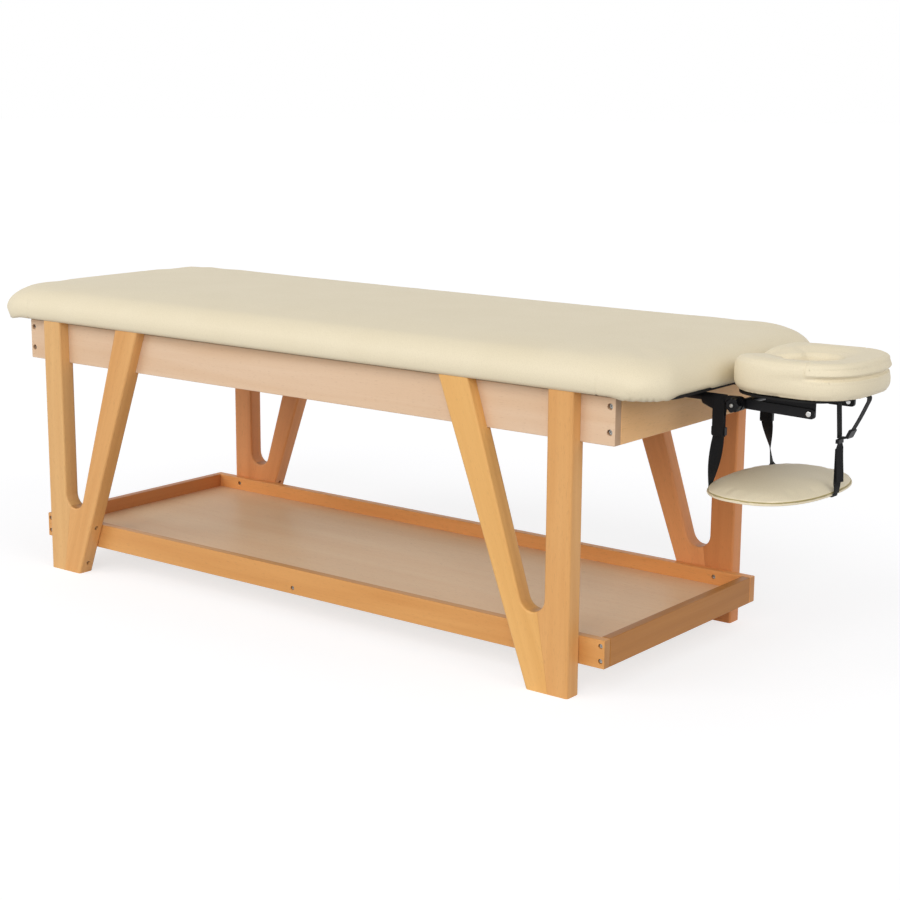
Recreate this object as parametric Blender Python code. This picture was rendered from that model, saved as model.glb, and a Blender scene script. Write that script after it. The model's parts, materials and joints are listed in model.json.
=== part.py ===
"""A massage table: a padded top on a beech frame with a storage shelf, a face rest that slides
out of the head end, drops and tilts, and an arm rest that hangs from it on webbing straps.

Positions below are measured from the middle of the table, with +X towards the head end,
+Y to the far side and +Z up from the floor. One empty moves the whole table along X so that
the middle of its overall length, face rest included, stands at the origin."""

import math

import bmesh
import bpy
from mathutils import Matrix, Vector

# Driving dimensions of the top, in metres
PAD_LENGTH = 1.900
PAD_WIDTH = 0.700
PAD_THICKNESS = 0.080
PAD_CORNER_RADIUS = 0.098
PAD_ROLL = 0.062
PAD_CROWN = 0.004
PAD_TUCK = 0.008
PAD_SIDE_DRAW = 0.002
BOARD_THICKNESS = 0.0057
BOARD_SETBACK = 0.008
BOARD_CORNER = 0.075
EDGE_ROUND = 0.0018
BATTEN_ROUND = 0.0015
MERGE_DISTANCE = 0.00001

# Driving dimensions of the frame
FRAME_END_SETBACK = 0.105
FRAME_SIDE_SETBACK = 0.035
FRAME_TOP = 0.606
APRON_HEIGHT = 0.094
APRON_THICKNESS = 0.021
LEG_SETBACK = 0.078
LEG_THICKNESS = 0.040
LEG_REBATE = 0.013
LEG_ROUND = 0.005
POST_WIDTH = 0.060
POST_FOOT = 0.047
FOOT_WIDTH = 0.1005
BRACE_REACH = 0.328
BRACE_TOP_WIDTH = 0.0746
CROTCH_HEIGHT = 0.162
CROTCH_RADIUS = 0.030
SHELF_SETBACK = 0.020
SHELF_BOTTOM = 0.063
RAIL_HEIGHT = 0.0585
RAIL_THICKNESS = 0.021
PANEL_THICKNESS = 0.006
PANEL_DROP = 0.033
GROOVE_DEPTH = 0.008
BATTEN_WIDTH = 0.045

# Driving dimensions of the face rest
ROD_RADIUS = 0.007
ROD_SPACING = 0.192
ROD_DROP = 0.019
ROD_INSERT = 0.135
SOCKET_LENGTH = 0.110
SOCKET_WALL = 0.004
PIVOT_OUT = 0.035
PIVOT_DROP = 0.006
TILT_DROP = 0.004
EYE_RADIUS = 0.014
CLAMP_BOLT_RADIUS = 0.004
KNOB_RADIUS = 0.015
KNOB_LENGTH = 0.021
ARM_LENGTH = 0.145
ARM_HEIGHT = 0.019
ARM_THICKNESS = 0.004
TIE_RADIUS = 0.005
BRACKET_LENGTH = 0.105
BRACKET_THICKNESS = 0.003
PLATFORM_LIFT = 0.0275
PLATFORM_THICKNESS = 0.004
PLATFORM_SETBACK = 0.011
PLATFORM_CROWN_SETBACK = 0.030
CUSHION_LENGTH = 0.270
CUSHION_WIDTH = 0.287
CUSHION_THICKNESS = 0.069
CUSHION_BAND = 0.087
CUSHION_SLOT = 0.016
CUSHION_GAP = 0.006
CUSHION_CHANNEL = 0.005
HOOK_LENGTH = 0.090
HOOK_WIDTH = 0.025
ARM_CORNER = 0.006

# Driving dimensions of the arm rest and its straps; it swings up to ARMREST_SWING degrees
ARMREST_LENGTH = 0.233
ARMREST_WIDTH = 0.365
ARMREST_CROWN = 0.027
ARMREST_BOARD = 0.005
ARMREST_BOARD_SETBACK = 0.028
ARMREST_RIM = 0.004
ARMREST_DROP = 0.181
ARMREST_OUT = 0.047
RIM_STRAP_NEAR = 0.081
RIM_STRAP_FAR = 0.134
STRAP_WIDTH = 0.025
FRONT_STRAP_WIDTH = 0.018
STRAP_THICKNESS = 0.0016
STRAP_BOW = 0.0135
SLIDE_OUT = 0.0185
SLIDE_LIFT = 0.0040
SLIDE_HEIGHT = 0.012
SLIDE_WALL = 0.0018
SLIDE_SIDE = 0.003
KEEPER_HEIGHT = 0.008
KEEPER_WALL = 0.0012
STRAP_PLAY = 0.0005
STRAP_DROP = 0.004
FREE_END_LIFT = 0.028
ARMREST_SWING = 17.0

# Air left between pieces that touch
CLEARANCE = 0.0003

# Places that follow from the dimensions
HALF_LENGTH = PAD_LENGTH / 2 - FRAME_END_SETBACK
HALF_WIDTH = PAD_WIDTH / 2 - FRAME_SIDE_SETBACK
APRON_BOTTOM = FRAME_TOP - APRON_HEIGHT
BOARD_BOTTOM = FRAME_TOP + CLEARANCE
PAD_BOTTOM = BOARD_BOTTOM + BOARD_THICKNESS + CLEARANCE
LEG_TOP = PAD_BOTTOM - CLEARANCE
LEG_IN = HALF_WIDTH - LEG_REBATE
LEG_OUT = LEG_IN + LEG_THICKNESS
RAIL_OUT = LEG_IN - CLEARANCE
RAIL_IN = RAIL_OUT - RAIL_THICKNESS
RAIL_TOP = SHELF_BOTTOM + RAIL_HEIGHT
SHELF_END = HALF_LENGTH - SHELF_SETBACK
PANEL_TOP = RAIL_TOP - PANEL_DROP

ROD_Y = ROD_SPACING / 2
ROD_Z = FRAME_TOP - ROD_DROP
PIVOT_X = PAD_LENGTH / 2 + PIVOT_OUT
PIVOT_Z = ROD_Z - PIVOT_DROP
ROD_END = PIVOT_X - EYE_RADIUS - 0.0095
TILT_X = PIVOT_X + ARM_LENGTH
TILT_Z = PIVOT_Z - TILT_DROP
KNUCKLE_OUT = ROD_Y + ROD_RADIUS
ARM_OUT = ROD_Y - ROD_RADIUS - CLEARANCE
ARM_IN = ARM_OUT - ARM_THICKNESS
ARM_END = ARM_HEIGHT / 2 + 0.002
TILT_PIN_RADIUS = 0.003
PLATFORM_BOTTOM = TILT_Z + PLATFORM_LIFT
PLATFORM_TOP = PLATFORM_BOTTOM + PLATFORM_THICKNESS
HOOK_THICKNESS = STRAP_THICKNESS + CLEARANCE
CUSHION_BOTTOM = PLATFORM_TOP + HOOK_THICKNESS + 2 * CLEARANCE
CUSHION_REAR = PAD_LENGTH / 2 + CUSHION_GAP
CUSHION_MIDDLE = CUSHION_REAR + CUSHION_LENGTH / 2
CUSHION_FRONT = CUSHION_REAR + CUSHION_LENGTH
CUSHION_POWER = 2.9
HOLE_POWER = 2.3
HOLE_HALF_X = CUSHION_LENGTH / 2 - CUSHION_BAND
HOLE_HALF_Y = CUSHION_WIDTH / 2 - CUSHION_BAND
TIP_DEPTH = 0.036

ARMREST_X = PIVOT_X + ARMREST_OUT
RIM_Z = ROD_Z - ARMREST_DROP
ARMREST_POWER = 2.4
RIM_JOINT_Z = RIM_Z + 0.005
STRAP_X = ROD_END - 0.004 - STRAP_WIDTH / 2
LOOP_JOIN_Z = ROD_Z - 0.032
BUCKLE_Z = ROD_Z - 0.064
BUCKLE_HEIGHT = 0.016
BUCKLE_WALL = 0.0026
BUCKLE_SIDE = 0.0035
STRAP_TAIL_Z = BUCKLE_Z - BUCKLE_HEIGHT / 2 - 0.003
FRONT_X = ARMREST_X + ARMREST_LENGTH / 2 + 0.0035
APEX_Z = ROD_Z - 0.066
APEX_X = FRONT_X + STRAP_THICKNESS * 1.5 + CLEARANCE

# The middle of the overall length stands at the origin
SHIFT = (PAD_LENGTH / 2 - CUSHION_FRONT) / 2

# Finishes: base colour, roughness, metallic
BEECH = ((0.60, 0.38, 0.20), 0.45, 0.0)
PALE_BEECH = ((0.66, 0.46, 0.30), 0.45, 0.0)
PLYWOOD = ((0.62, 0.42, 0.30), 0.55, 0.0)
CREAM = ((0.86, 0.78, 0.64), 0.48, 0.0)
BLACK_BOARD = ((0.02, 0.02, 0.02), 0.5, 0.0)
BLACK_PLASTIC = ((0.015, 0.015, 0.016), 0.4, 0.0)
WEBBING = ((0.012, 0.012, 0.013), 0.85, 0.0)
BLACK_STEEL = ((0.02, 0.02, 0.022), 0.4, 0.6)
STEEL = ((0.62, 0.62, 0.64), 0.25, 1.0)

for old in list(bpy.data.objects):
    bpy.data.objects.remove(old, do_unlink=True)

parts = bpy.data.collections.new("massage_table")
bpy.context.scene.collection.children.link(parts)
cutters = bpy.data.collections.new("cutters")
bpy.context.scene.collection.children.link(cutters)

places = {}


def add_frame(name, place, parent=None):
    """An empty that carries a group of pieces; place is measured from the middle of the table."""
    empty = bpy.data.objects.new(name, None)
    empty.empty_display_size = 0.05
    parts.objects.link(empty)
    place = Vector(place)
    if parent is None:
        empty.location = place + Vector((SHIFT, 0, 0))
    else:
        empty.parent = parent
        empty.location = place - places[parent.name]
    places[name] = place
    return empty


def add_part(name, shape, finish, frame):
    """One solid piece, carried by frame, with a finish of its own."""
    bmesh.ops.recalc_face_normals(shape, faces=shape.faces)
    bmesh.ops.translate(shape, verts=shape.verts, vec=-places[frame.name])
    mesh = bpy.data.meshes.new(name)
    shape.to_mesh(mesh)
    shape.free()
    piece = bpy.data.objects.new(name, mesh)
    parts.objects.link(piece)
    piece.parent = frame
    color, rough, metal = finish
    look = bpy.data.materials.new(name + "_finish")
    look.use_nodes = True
    shader = look.node_tree.nodes["Principled BSDF"]
    shader.inputs["Base Color"].default_value = (*color, 1.0)
    shader.inputs["Roughness"].default_value = rough
    shader.inputs["Metallic"].default_value = metal
    mesh.materials.append(look)
    return piece


def add_cutter(name, shape, frame):
    """A solid that is only taken away from others."""
    bmesh.ops.recalc_face_normals(shape, faces=shape.faces)
    bmesh.ops.translate(shape, verts=shape.verts, vec=-places[frame.name])
    mesh = bpy.data.meshes.new(name)
    shape.to_mesh(mesh)
    shape.free()
    cutter = bpy.data.objects.new(name, mesh)
    cutters.objects.link(cutter)
    cutter.parent = frame
    cutter.hide_render = True
    cutter.display_type = "WIRE"
    return cutter


def boolean(piece, other, operation):
    """Take other away from piece, or join it on."""
    step = piece.modifiers.new(operation.lower() + "_" + other.name, "BOOLEAN")
    step.object = other
    step.operation = operation
    step.solver = "EXACT"


def block(low, high, rounding=0.0):
    """A straight-sided block between two corners, with its edges eased."""
    shape = bmesh.new()
    bmesh.ops.create_cube(shape, size=1.0)
    low = Vector(low)
    high = Vector(high)
    bmesh.ops.scale(shape, verts=shape.verts, vec=high - low)
    bmesh.ops.translate(shape, verts=shape.verts, vec=(low + high) / 2)
    if rounding > 0:
        bmesh.ops.bevel(shape, geom=shape.edges[:], offset=rounding, segments=2, profile=0.5,
                        affect="EDGES")
    return shape


def arc(center, radius, start, end, steps):
    """Points on a circle in a plane, angles in degrees."""
    points = []
    for i in range(steps + 1):
        a = math.radians(start + (end - start) * i / steps)
        points.append((center[0] + radius * math.cos(a), center[1] + radius * math.sin(a)))
    return points


def upright_plate(outline, y_low, y_high):
    """An outline in X and Z given thickness along Y."""
    shape = bmesh.new()
    corners = [shape.verts.new((x, y_low, z)) for x, z in outline]
    face = shape.faces.new(corners)
    made = bmesh.ops.extrude_face_region(shape, geom=[face])
    moved = [item for item in made["geom"] if isinstance(item, bmesh.types.BMVert)]
    bmesh.ops.translate(shape, verts=moved, vec=(0, y_high - y_low, 0))
    return shape


def flat_plate(outline, z_low, z_high):
    """An outline in X and Y given thickness along Z."""
    shape = bmesh.new()
    corners = [shape.verts.new((x, y, z_low)) for x, y in outline]
    face = shape.faces.new(corners)
    made = bmesh.ops.extrude_face_region(shape, geom=[face])
    moved = [item for item in made["geom"] if isinstance(item, bmesh.types.BMVert)]
    bmesh.ops.translate(shape, verts=moved, vec=(0, 0, z_high - z_low))
    return shape


def ease(shape, segments, amount, steps):
    """Round the outline edges of a plate along the chosen outline segments."""
    chosen = []
    for edge in shape.edges:
        a, b = edge.verts
        if abs(a.co.y - b.co.y) > 1e-6:
            continue
        middle = (a.co + b.co) / 2
        for (xa, za), (xb, zb) in segments:
            if math.hypot(middle.x - (xa + xb) / 2, middle.z - (za + zb) / 2) < 1e-6:
                chosen.append(edge)
                break
    bmesh.ops.bevel(shape, geom=chosen, offset=amount, segments=steps, profile=0.5,
                    affect="EDGES")
    return shape


TURN_TO = {
    "X": Matrix.Rotation(math.pi / 2, 4, "Y"),
    "Y": Matrix.Rotation(-math.pi / 2, 4, "X"),
}


def turned(profile, axis, origin, steps, closed=True):
    """A profile of radius and distance along the axis, turned right round it."""
    shape = bmesh.new()
    points = [shape.verts.new((r, 0, t)) for r, t in profile]
    lines = [shape.edges.new((points[i], points[i + 1])) for i in range(len(points) - 1)]
    if closed:
        lines.append(shape.edges.new((points[-1], points[0])))
    bmesh.ops.spin(shape, geom=points + lines, cent=(0, 0, 0), axis=(0, 0, 1),
                   angle=2 * math.pi, steps=steps, use_merge=True, use_duplicate=False)
    bmesh.ops.remove_doubles(shape, verts=shape.verts, dist=MERGE_DISTANCE)
    bmesh.ops.transform(shape, matrix=TURN_TO[axis], verts=shape.verts)
    bmesh.ops.translate(shape, verts=shape.verts, vec=origin)
    return shape


def bar(axis, start, end, radius, origin, steps=20):
    """A round bar along an axis between two distances from origin."""
    return turned([(0, start), (radius, start), (radius, end), (0, end)], axis, origin, steps,
                  closed=False)


def loft(rings):
    """A skin over rings with the same number of points, closed at both ends."""
    shape = bmesh.new()
    rows = [[shape.verts.new(point) for point in ring] for ring in rings]
    count = len(rows[0])
    for low, high in zip(rows, rows[1:]):
        for i in range(count):
            j = (i + 1) % count
            shape.faces.new((low[i], low[j], high[j], high[i]))
    shape.faces.new(rows[0])
    shape.faces.new(rows[-1])
    return shape


def ribbon(outer, inner, half_width):
    """A flat outline with a hole in it, thickened equally both ways."""
    curve = bpy.data.curves.new("ribbon", "CURVE")
    curve.dimensions = "2D"
    curve.fill_mode = "BOTH"
    curve.extrude = half_width
    for outline in (outer, inner):
        line = curve.splines.new("POLY")
        line.points.add(len(outline) - 1)
        for point, (x, y) in zip(line.points, outline):
            point.co = (x, y, 0, 1)
        line.use_cyclic_u = True
    holder = bpy.data.objects.new("ribbon", curve)
    cutters.objects.link(holder)
    bpy.context.view_layer.update()
    mesh = bpy.data.meshes.new_from_object(holder)
    shape = bmesh.new()
    shape.from_mesh(mesh)
    bmesh.ops.remove_doubles(shape, verts=shape.verts, dist=MERGE_DISTANCE)
    bpy.data.objects.remove(holder, do_unlink=True)
    bpy.data.meshes.remove(mesh)
    return shape


def rounded_rectangle(half_x, half_y, radius, corner_steps, long_steps, short_steps):
    """Points of a rectangle with round corners, with extra points along its sides."""
    points = []
    middles = [(half_x - radius, half_y - radius), (radius - half_x, half_y - radius),
               (radius - half_x, radius - half_y), (half_x - radius, radius - half_y)]
    for k in range(4):
        points += arc(middles[k], radius, 90 * k, 90 * k + 90, corner_steps)
        after = middles[(k + 1) % 4]
        a = math.radians(90 * k + 90)
        first = points[-1]
        last = (after[0] + radius * math.cos(a), after[1] + radius * math.sin(a))
        steps = long_steps if k % 2 == 0 else short_steps
        for i in range(1, steps):
            t = i / steps
            points.append((first[0] + (last[0] - first[0]) * t,
                           first[1] + (last[1] - first[1]) * t))
    return points


def superellipse_point(half_x, half_y, power, angle):
    """A point on a rounded-square curve; power 2 is an ellipse."""
    c = math.cos(angle)
    s = math.sin(angle)
    return (half_x * math.copysign(abs(c) ** (2 / power), c),
            half_y * math.copysign(abs(s) ** (2 / power), s))


def horseshoe():
    """Outline of the face cushion, anticlockwise, open towards the table."""
    half_x = CUSHION_LENGTH / 2
    half_y = CUSHION_WIDTH / 2
    tip_y = CUSHION_SLOT / 2 + TIP_DEPTH
    outer_end = math.pi - math.asin((tip_y / half_y) ** (CUSHION_POWER / 2))
    inner_end = math.pi - math.asin(min(0.98, tip_y / HOLE_HALF_Y) ** (HOLE_POWER / 2))
    far = []
    for i in range(21):
        far.append(superellipse_point(half_x, half_y, CUSHION_POWER, outer_end * i / 20))
    inner = [superellipse_point(HOLE_HALF_X, HOLE_HALF_Y, HOLE_POWER, inner_end * i / 13)
             for i in range(14)]
    outer_x = far[-1][0]
    inner_x = inner[-1][0]
    tip_y = far[-1][1]
    width = (inner_x - outer_x) / 2
    middle = (inner_x + outer_x) / 2
    for i in range(1, 10):
        a = math.pi - math.pi * i / 10
        y = tip_y + (inner[-1][1] - tip_y) * i / 10
        far.append((middle + width * math.cos(a), y - TIP_DEPTH * math.sin(a)))
    far += list(reversed(inner))
    near = [(x, -y) for x, y in reversed(far)]
    outline = far[:-1] + near[:-1]
    return [(CUSHION_MIDDLE + x, y) for x, y in outline]


def inward(outline):
    """Unit directions into an anticlockwise outline, one at each point."""
    ways = []
    count = len(outline)
    for i in range(count):
        x0, y0 = outline[i - 1]
        x1, y1 = outline[(i + 1) % count]
        length = math.hypot(x1 - x0, y1 - y0)
        ways.append((-(y1 - y0) / length, (x1 - x0) / length))
    return ways


def drawn_in(outline, amount):
    """The outline moved inwards by one amount, or by one for each point."""
    amounts = amount if isinstance(amount, list) else [amount] * len(outline)
    return [(x + nx * d, y + ny * d)
            for (x, y), (nx, ny), d in zip(outline, inward(outline), amounts)]


# Frames that carry the moving groups
table = add_frame("table_frame", (0, 0, 0))
base = add_frame("cradle_slide_frame", (HALF_LENGTH, 0, ROD_Z), table)
clamp = add_frame("clamp_frame", (PIVOT_X, 0, PIVOT_Z), base)
arms = add_frame("arm_hinge_frame", (PIVOT_X, 0, PIVOT_Z), base)
face = add_frame("face_tilt_frame", (TILT_X, 0, TILT_Z), arms)
hanger = add_frame("hanger_frame", (STRAP_X, 0, BUCKLE_Z), base)



def rear_rim(sy, distance):
    """A point on the arm rest's rear rim, its distance from the middle given, and its outward way."""
    across = distance / (ARMREST_WIDTH / 2)
    along = (1 - across ** ARMREST_POWER) ** (1 / ARMREST_POWER)
    slope_x = along ** (ARMREST_POWER - 1) / (ARMREST_LENGTH / 2)
    slope_y = across ** (ARMREST_POWER - 1) / (ARMREST_WIDTH / 2)
    point = Vector((ARMREST_X - ARMREST_LENGTH / 2 * along, sy * distance, 0))
    return point, Vector((-slope_x, sy * slope_y, 0)).normalized()


# Where the rear straps meet the arm rest's rim; it swings about the line through both
RIM_AT = {"near": rear_rim(-1, RIM_STRAP_NEAR), "far": rear_rim(1, RIM_STRAP_FAR)}
SWING_AT = {side: point + way * (CLEARANCE + STRAP_THICKNESS / 2)
            for side, (point, way) in RIM_AT.items()}
SWING_AXIS = (SWING_AT["far"] - SWING_AT["near"]).normalized()
SWING_MIDDLE = (SWING_AT["far"] + SWING_AT["near"]) / 2
rest = add_frame("armrest_frame", (SWING_MIDDLE.x, SWING_MIDDLE.y, RIM_JOINT_Z), hanger)
front = add_frame("front_strap_frame", (APEX_X, 0, APEX_Z), arms)
tail = add_frame("front_tail_frame", (FRONT_X, 0, APEX_Z), front)

SIDES = (("near", -1), ("far", 1))
ENDS = (("head", 1), ("foot", -1))

# Aprons: the long ones run past the end ones
rod_bores = add_cutter(
    "rod_bores",
    bar("X", HALF_LENGTH - 2 * APRON_THICKNESS, HALF_LENGTH + APRON_THICKNESS,
        ROD_RADIUS + CLEARANCE, (0, -ROD_Y, ROD_Z)),
    table)
rod_bores_far = add_cutter(
    "rod_bores_far",
    bar("X", HALF_LENGTH - 2 * APRON_THICKNESS, HALF_LENGTH + APRON_THICKNESS,
        ROD_RADIUS + CLEARANCE, (0, ROD_Y, ROD_Z)),
    table)
for side, sy in SIDES:
    y_in = sy * (HALF_WIDTH - APRON_THICKNESS)
    y_out = sy * HALF_WIDTH
    add_part("apron_" + side,
             block((-HALF_LENGTH, min(y_in, y_out), APRON_BOTTOM),
                   (HALF_LENGTH, max(y_in, y_out), FRAME_TOP), EDGE_ROUND),
             PALE_BEECH, table)
end_y = HALF_WIDTH - APRON_THICKNESS - CLEARANCE
for end, sx in ENDS:
    x_in = sx * (HALF_LENGTH - APRON_THICKNESS)
    x_out = sx * HALF_LENGTH
    apron = add_part("apron_" + end,
                     block((min(x_in, x_out), -end_y, APRON_BOTTOM),
                           (max(x_in, x_out), end_y, FRAME_TOP), EDGE_ROUND),
                     PALE_BEECH, table)
    if end == "head":
        boolean(apron, rod_bores, "DIFFERENCE")
        boolean(apron, rod_bores_far, "DIFFERENCE")

# Legs: a post and a brace glued together at the foot, notched over the apron at the top
post_x = HALF_LENGTH - LEG_SETBACK
crotch = (post_x - POST_WIDTH - CROTCH_RADIUS, CROTCH_HEIGHT + CROTCH_RADIUS)
brace_mid_top = (post_x - BRACE_REACH, LEG_TOP)
brace_top = (brace_mid_top[0] + BRACE_TOP_WIDTH, LEG_TOP)
foot_in = (post_x - FOOT_WIDTH, 0.0)
glue_x = post_x - POST_FOOT
to_crotch = (crotch[0] - brace_top[0], crotch[1] - brace_top[1])
to_angle = math.atan2(to_crotch[1], to_crotch[0])
to_length = math.hypot(*to_crotch)
touch = math.degrees(to_angle - math.asin(CROTCH_RADIUS / to_length)) - 90
glue_angle = -61.0
brace_arc = arc(crotch, CROTCH_RADIUS, glue_angle, touch, 7)
post_arc = arc(crotch, CROTCH_RADIUS, 0, glue_angle, 4)
brace_outline = [foot_in, (glue_x - CLEARANCE / 2, 0.0)]
brace_outline += [(x - CLEARANCE / 2, z) for x, z in brace_arc]
brace_outline += [brace_top, brace_mid_top]
post_outline = [(post_x, 0.0), (post_x, LEG_TOP), (post_x - POST_WIDTH + CLEARANCE / 2, LEG_TOP)]
post_outline += [(x + CLEARANCE / 2, z) for x, z in post_arc]
post_outline += [(glue_x + CLEARANCE / 2, 0.0)]

for side, sy in SIDES:
    notch_y = sorted((sy * (HALF_WIDTH + CLEARANCE), sy * (LEG_IN - 0.02)))
    notch = add_cutter(
        "leg_notch_" + side,
        block((-PAD_LENGTH, notch_y[0], APRON_BOTTOM - CLEARANCE),
              (PAD_LENGTH, notch_y[1], LEG_TOP + 0.02)),
        table)
    y_low, y_high = sorted((sy * LEG_IN, sy * LEG_OUT))
    for end, sx in ENDS:
        for kind, outline, rounded in (("brace", brace_outline, range(2, len(brace_outline))),
                                       ("post", post_outline, range(0, len(post_outline) - 2))):
            points = [(sx * x, z) for x, z in outline]
            count = len(points)
            segments = [(points[i], points[(i + 1) % count]) for i in rounded]
            segments = [s for s in segments if abs(s[0][1] - s[1][1]) > 1e-9]
            plate = ease(upright_plate(points, y_low, y_high), segments, LEG_ROUND, 2)
            leg = add_part("leg_" + kind + "_" + side + "_" + end, plate, BEECH, table)
            boolean(leg, notch, "DIFFERENCE")

# Shelf: rails grooved for a thin panel, with a batten under its middle
groove_x = SHELF_END - RAIL_THICKNESS + GROOVE_DEPTH
groove_y = RAIL_IN + GROOVE_DEPTH
groove = add_cutter(
    "panel_groove",
    block((-groove_x, -groove_y, PANEL_TOP - PANEL_THICKNESS - CLEARANCE),
          (groove_x, groove_y, PANEL_TOP + CLEARANCE)),
    table)
for side, sy in SIDES:
    y_low, y_high = sorted((sy * RAIL_IN, sy * RAIL_OUT))
    rail = add_part("shelf_rail_" + side,
                    block((-SHELF_END, y_low, SHELF_BOTTOM), (SHELF_END, y_high, RAIL_TOP), EDGE_ROUND),
                    BEECH, table)
    boolean(rail, groove, "DIFFERENCE")
for end, sx in ENDS:
    x_low, x_high = sorted((sx * (SHELF_END - RAIL_THICKNESS), sx * SHELF_END))
    rail = add_part("shelf_rail_" + end,
                    block((x_low, CLEARANCE - RAIL_IN, SHELF_BOTTOM),
                          (x_high, RAIL_IN - CLEARANCE, RAIL_TOP), EDGE_ROUND),
                    BEECH, table)
    boolean(rail, groove, "DIFFERENCE")
add_part("shelf_panel",
         block((CLEARANCE - groove_x, CLEARANCE - groove_y, PANEL_TOP - PANEL_THICKNESS),
               (groove_x - CLEARANCE, groove_y - CLEARANCE, PANEL_TOP)),
         PLYWOOD, table)
add_part("shelf_batten",
         block((-BATTEN_WIDTH / 2, CLEARANCE - RAIL_IN, SHELF_BOTTOM),
               (BATTEN_WIDTH / 2, RAIL_IN - CLEARANCE, PANEL_TOP - PANEL_THICKNESS - CLEARANCE),
               BATTEN_ROUND),
         BEECH, table)

# Board under the pad
add_part("pad_board",
         flat_plate(rounded_rectangle(PAD_LENGTH / 2 - BOARD_SETBACK, HALF_WIDTH, BOARD_CORNER, 6, 1, 1),
                    BOARD_BOTTOM, BOARD_BOTTOM + BOARD_THICKNESS),
         BLACK_BOARD, table)


def pad_ring(inset, height):
    """One level of the table pad, its long sides drawn in a little between the corners."""
    half_x = PAD_LENGTH / 2 - inset
    half_y = PAD_WIDTH / 2 - inset
    ring = []
    for x, y in rounded_rectangle(half_x, half_y, PAD_CORNER_RADIUS, 6, 10, 5):
        sag = PAD_SIDE_DRAW * max(0.0, 1 - (x / half_x) ** 2)
        ring.append((x, y - sag * y / half_y, PAD_BOTTOM + height))
    return ring


# Table pad: tucked in below, a deep roll round the top edge and a low crown
edge_low = PAD_THICKNESS * 0.23
rim_top = PAD_THICKNESS - PAD_CROWN
pad_rings = []
for i in range(4):
    a = math.radians(90 - 30 * i)
    pad_rings.append(pad_ring(PAD_TUCK * (1 - math.cos(a)), edge_low * (1 - math.sin(a))))
for i in range(1, 8):
    a = math.radians(90 * i / 7)
    pad_rings.append(pad_ring(PAD_ROLL * (1 - math.cos(a)),
                              edge_low + (rim_top - edge_low) * math.sin(a)))
crown_run = PAD_WIDTH / 2 - PAD_ROLL - 0.05
for t in (0.3, 0.6, 1.0):
    pad_rings.append(pad_ring(PAD_ROLL + crown_run * t, rim_top + PAD_CROWN * (1 - (1 - t) ** 2)))
add_part("table_pad", loft(pad_rings), CREAM, table)

# Sockets inside the frame and the two rods that slide in them
socket_end = HALF_LENGTH - APRON_THICKNESS - CLEARANCE
bore = ROD_RADIUS + CLEARANCE
socket_profile = [(bore, -SOCKET_LENGTH), (bore, 0.0), (ROD_DROP - 0.001, 0.0),
                  (ROD_DROP - 0.001, -0.004), (bore + SOCKET_WALL, -0.004),
                  (bore + SOCKET_WALL, -SOCKET_LENGTH)]
for side, sy in SIDES:
    add_part("rod_socket_" + side,
             turned(socket_profile, "X", (socket_end, sy * ROD_Y, ROD_Z), 24), STEEL, table)
    add_part("cradle_rod_" + side,
             bar("X", HALF_LENGTH - ROD_INSERT, ROD_END, ROD_RADIUS, (0, sy * ROD_Y, ROD_Z)),
             BLACK_STEEL, base)

# Knuckles on the rod ends
clamp_bore = add_cutter("clamp_bore",
                        bar("Y", -0.3, 0.3, CLAMP_BOLT_RADIUS + CLEARANCE, (PIVOT_X, 0, PIVOT_Z)),
                        base)
tilt_bore = add_cutter("tilt_bore",
                       bar("Y", -0.3, 0.3, TILT_PIN_RADIUS + CLEARANCE, (TILT_X, 0, TILT_Z), 16),
                       base)
knuckle_start = ROD_END + CLEARANCE
knuckle_outline = [(knuckle_start, ROD_Z + ROD_RADIUS)]
knuckle_outline += arc((PIVOT_X, PIVOT_Z), EYE_RADIUS, 80, -160, 14)
knuckle_outline += [(knuckle_start, ROD_Z - ROD_RADIUS)]
for side, sy in SIDES:
    y_low, y_high = sorted((sy * (ROD_Y - ROD_RADIUS), sy * KNUCKLE_OUT))
    plate = upright_plate(knuckle_outline, y_low, y_high)
    knuckle = add_part("knuckle_" + side, plate, BLACK_STEEL, base)
    boolean(knuckle, clamp_bore, "DIFFERENCE")

# Clamp bolt with its head on the far side and the knob on the near side
bolt_head = KNUCKLE_OUT + CLEARANCE
bolt_end = -(KNUCKLE_OUT + CLEARANCE + KNOB_LENGTH + 0.0025)
bolt_profile = [(0, bolt_end), (CLAMP_BOLT_RADIUS * 0.7, bolt_end),
                (CLAMP_BOLT_RADIUS, bolt_end + 0.0012), (CLAMP_BOLT_RADIUS, bolt_head),
                (CLAMP_BOLT_RADIUS * 1.9, bolt_head), (CLAMP_BOLT_RADIUS * 1.9, bolt_head + 0.004),
                (CLAMP_BOLT_RADIUS * 1.3, bolt_head + 0.0055), (0, bolt_head + 0.0055)]
add_part("clamp_bolt", turned(bolt_profile, "Y", (PIVOT_X, 0, PIVOT_Z), 20, closed=False),
         STEEL, base)
knob_rings = []
for share, scale, lobe in ((0.0, 0.62, 0.0), (0.3, 0.66, 0.0), (0.36, 0.95, 0.07),
                           (0.9, 0.93, 0.07), (1.0, 0.80, 0.06)):
    ring = []
    for i in range(42):
        a = 2 * math.pi * i / 42
        r = KNOB_RADIUS * scale * (1 + lobe * math.cos(7 * a))
        ring.append((PIVOT_X + r * math.cos(a), -(KNUCKLE_OUT + CLEARANCE + KNOB_LENGTH * share),
                     PIVOT_Z + r * math.sin(a)))
    knob_rings.append(ring)
knob = add_part("clamp_knob", loft(knob_rings), BLACK_PLASTIC, clamp)
boolean(knob, clamp_bore, "DIFFERENCE")

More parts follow.
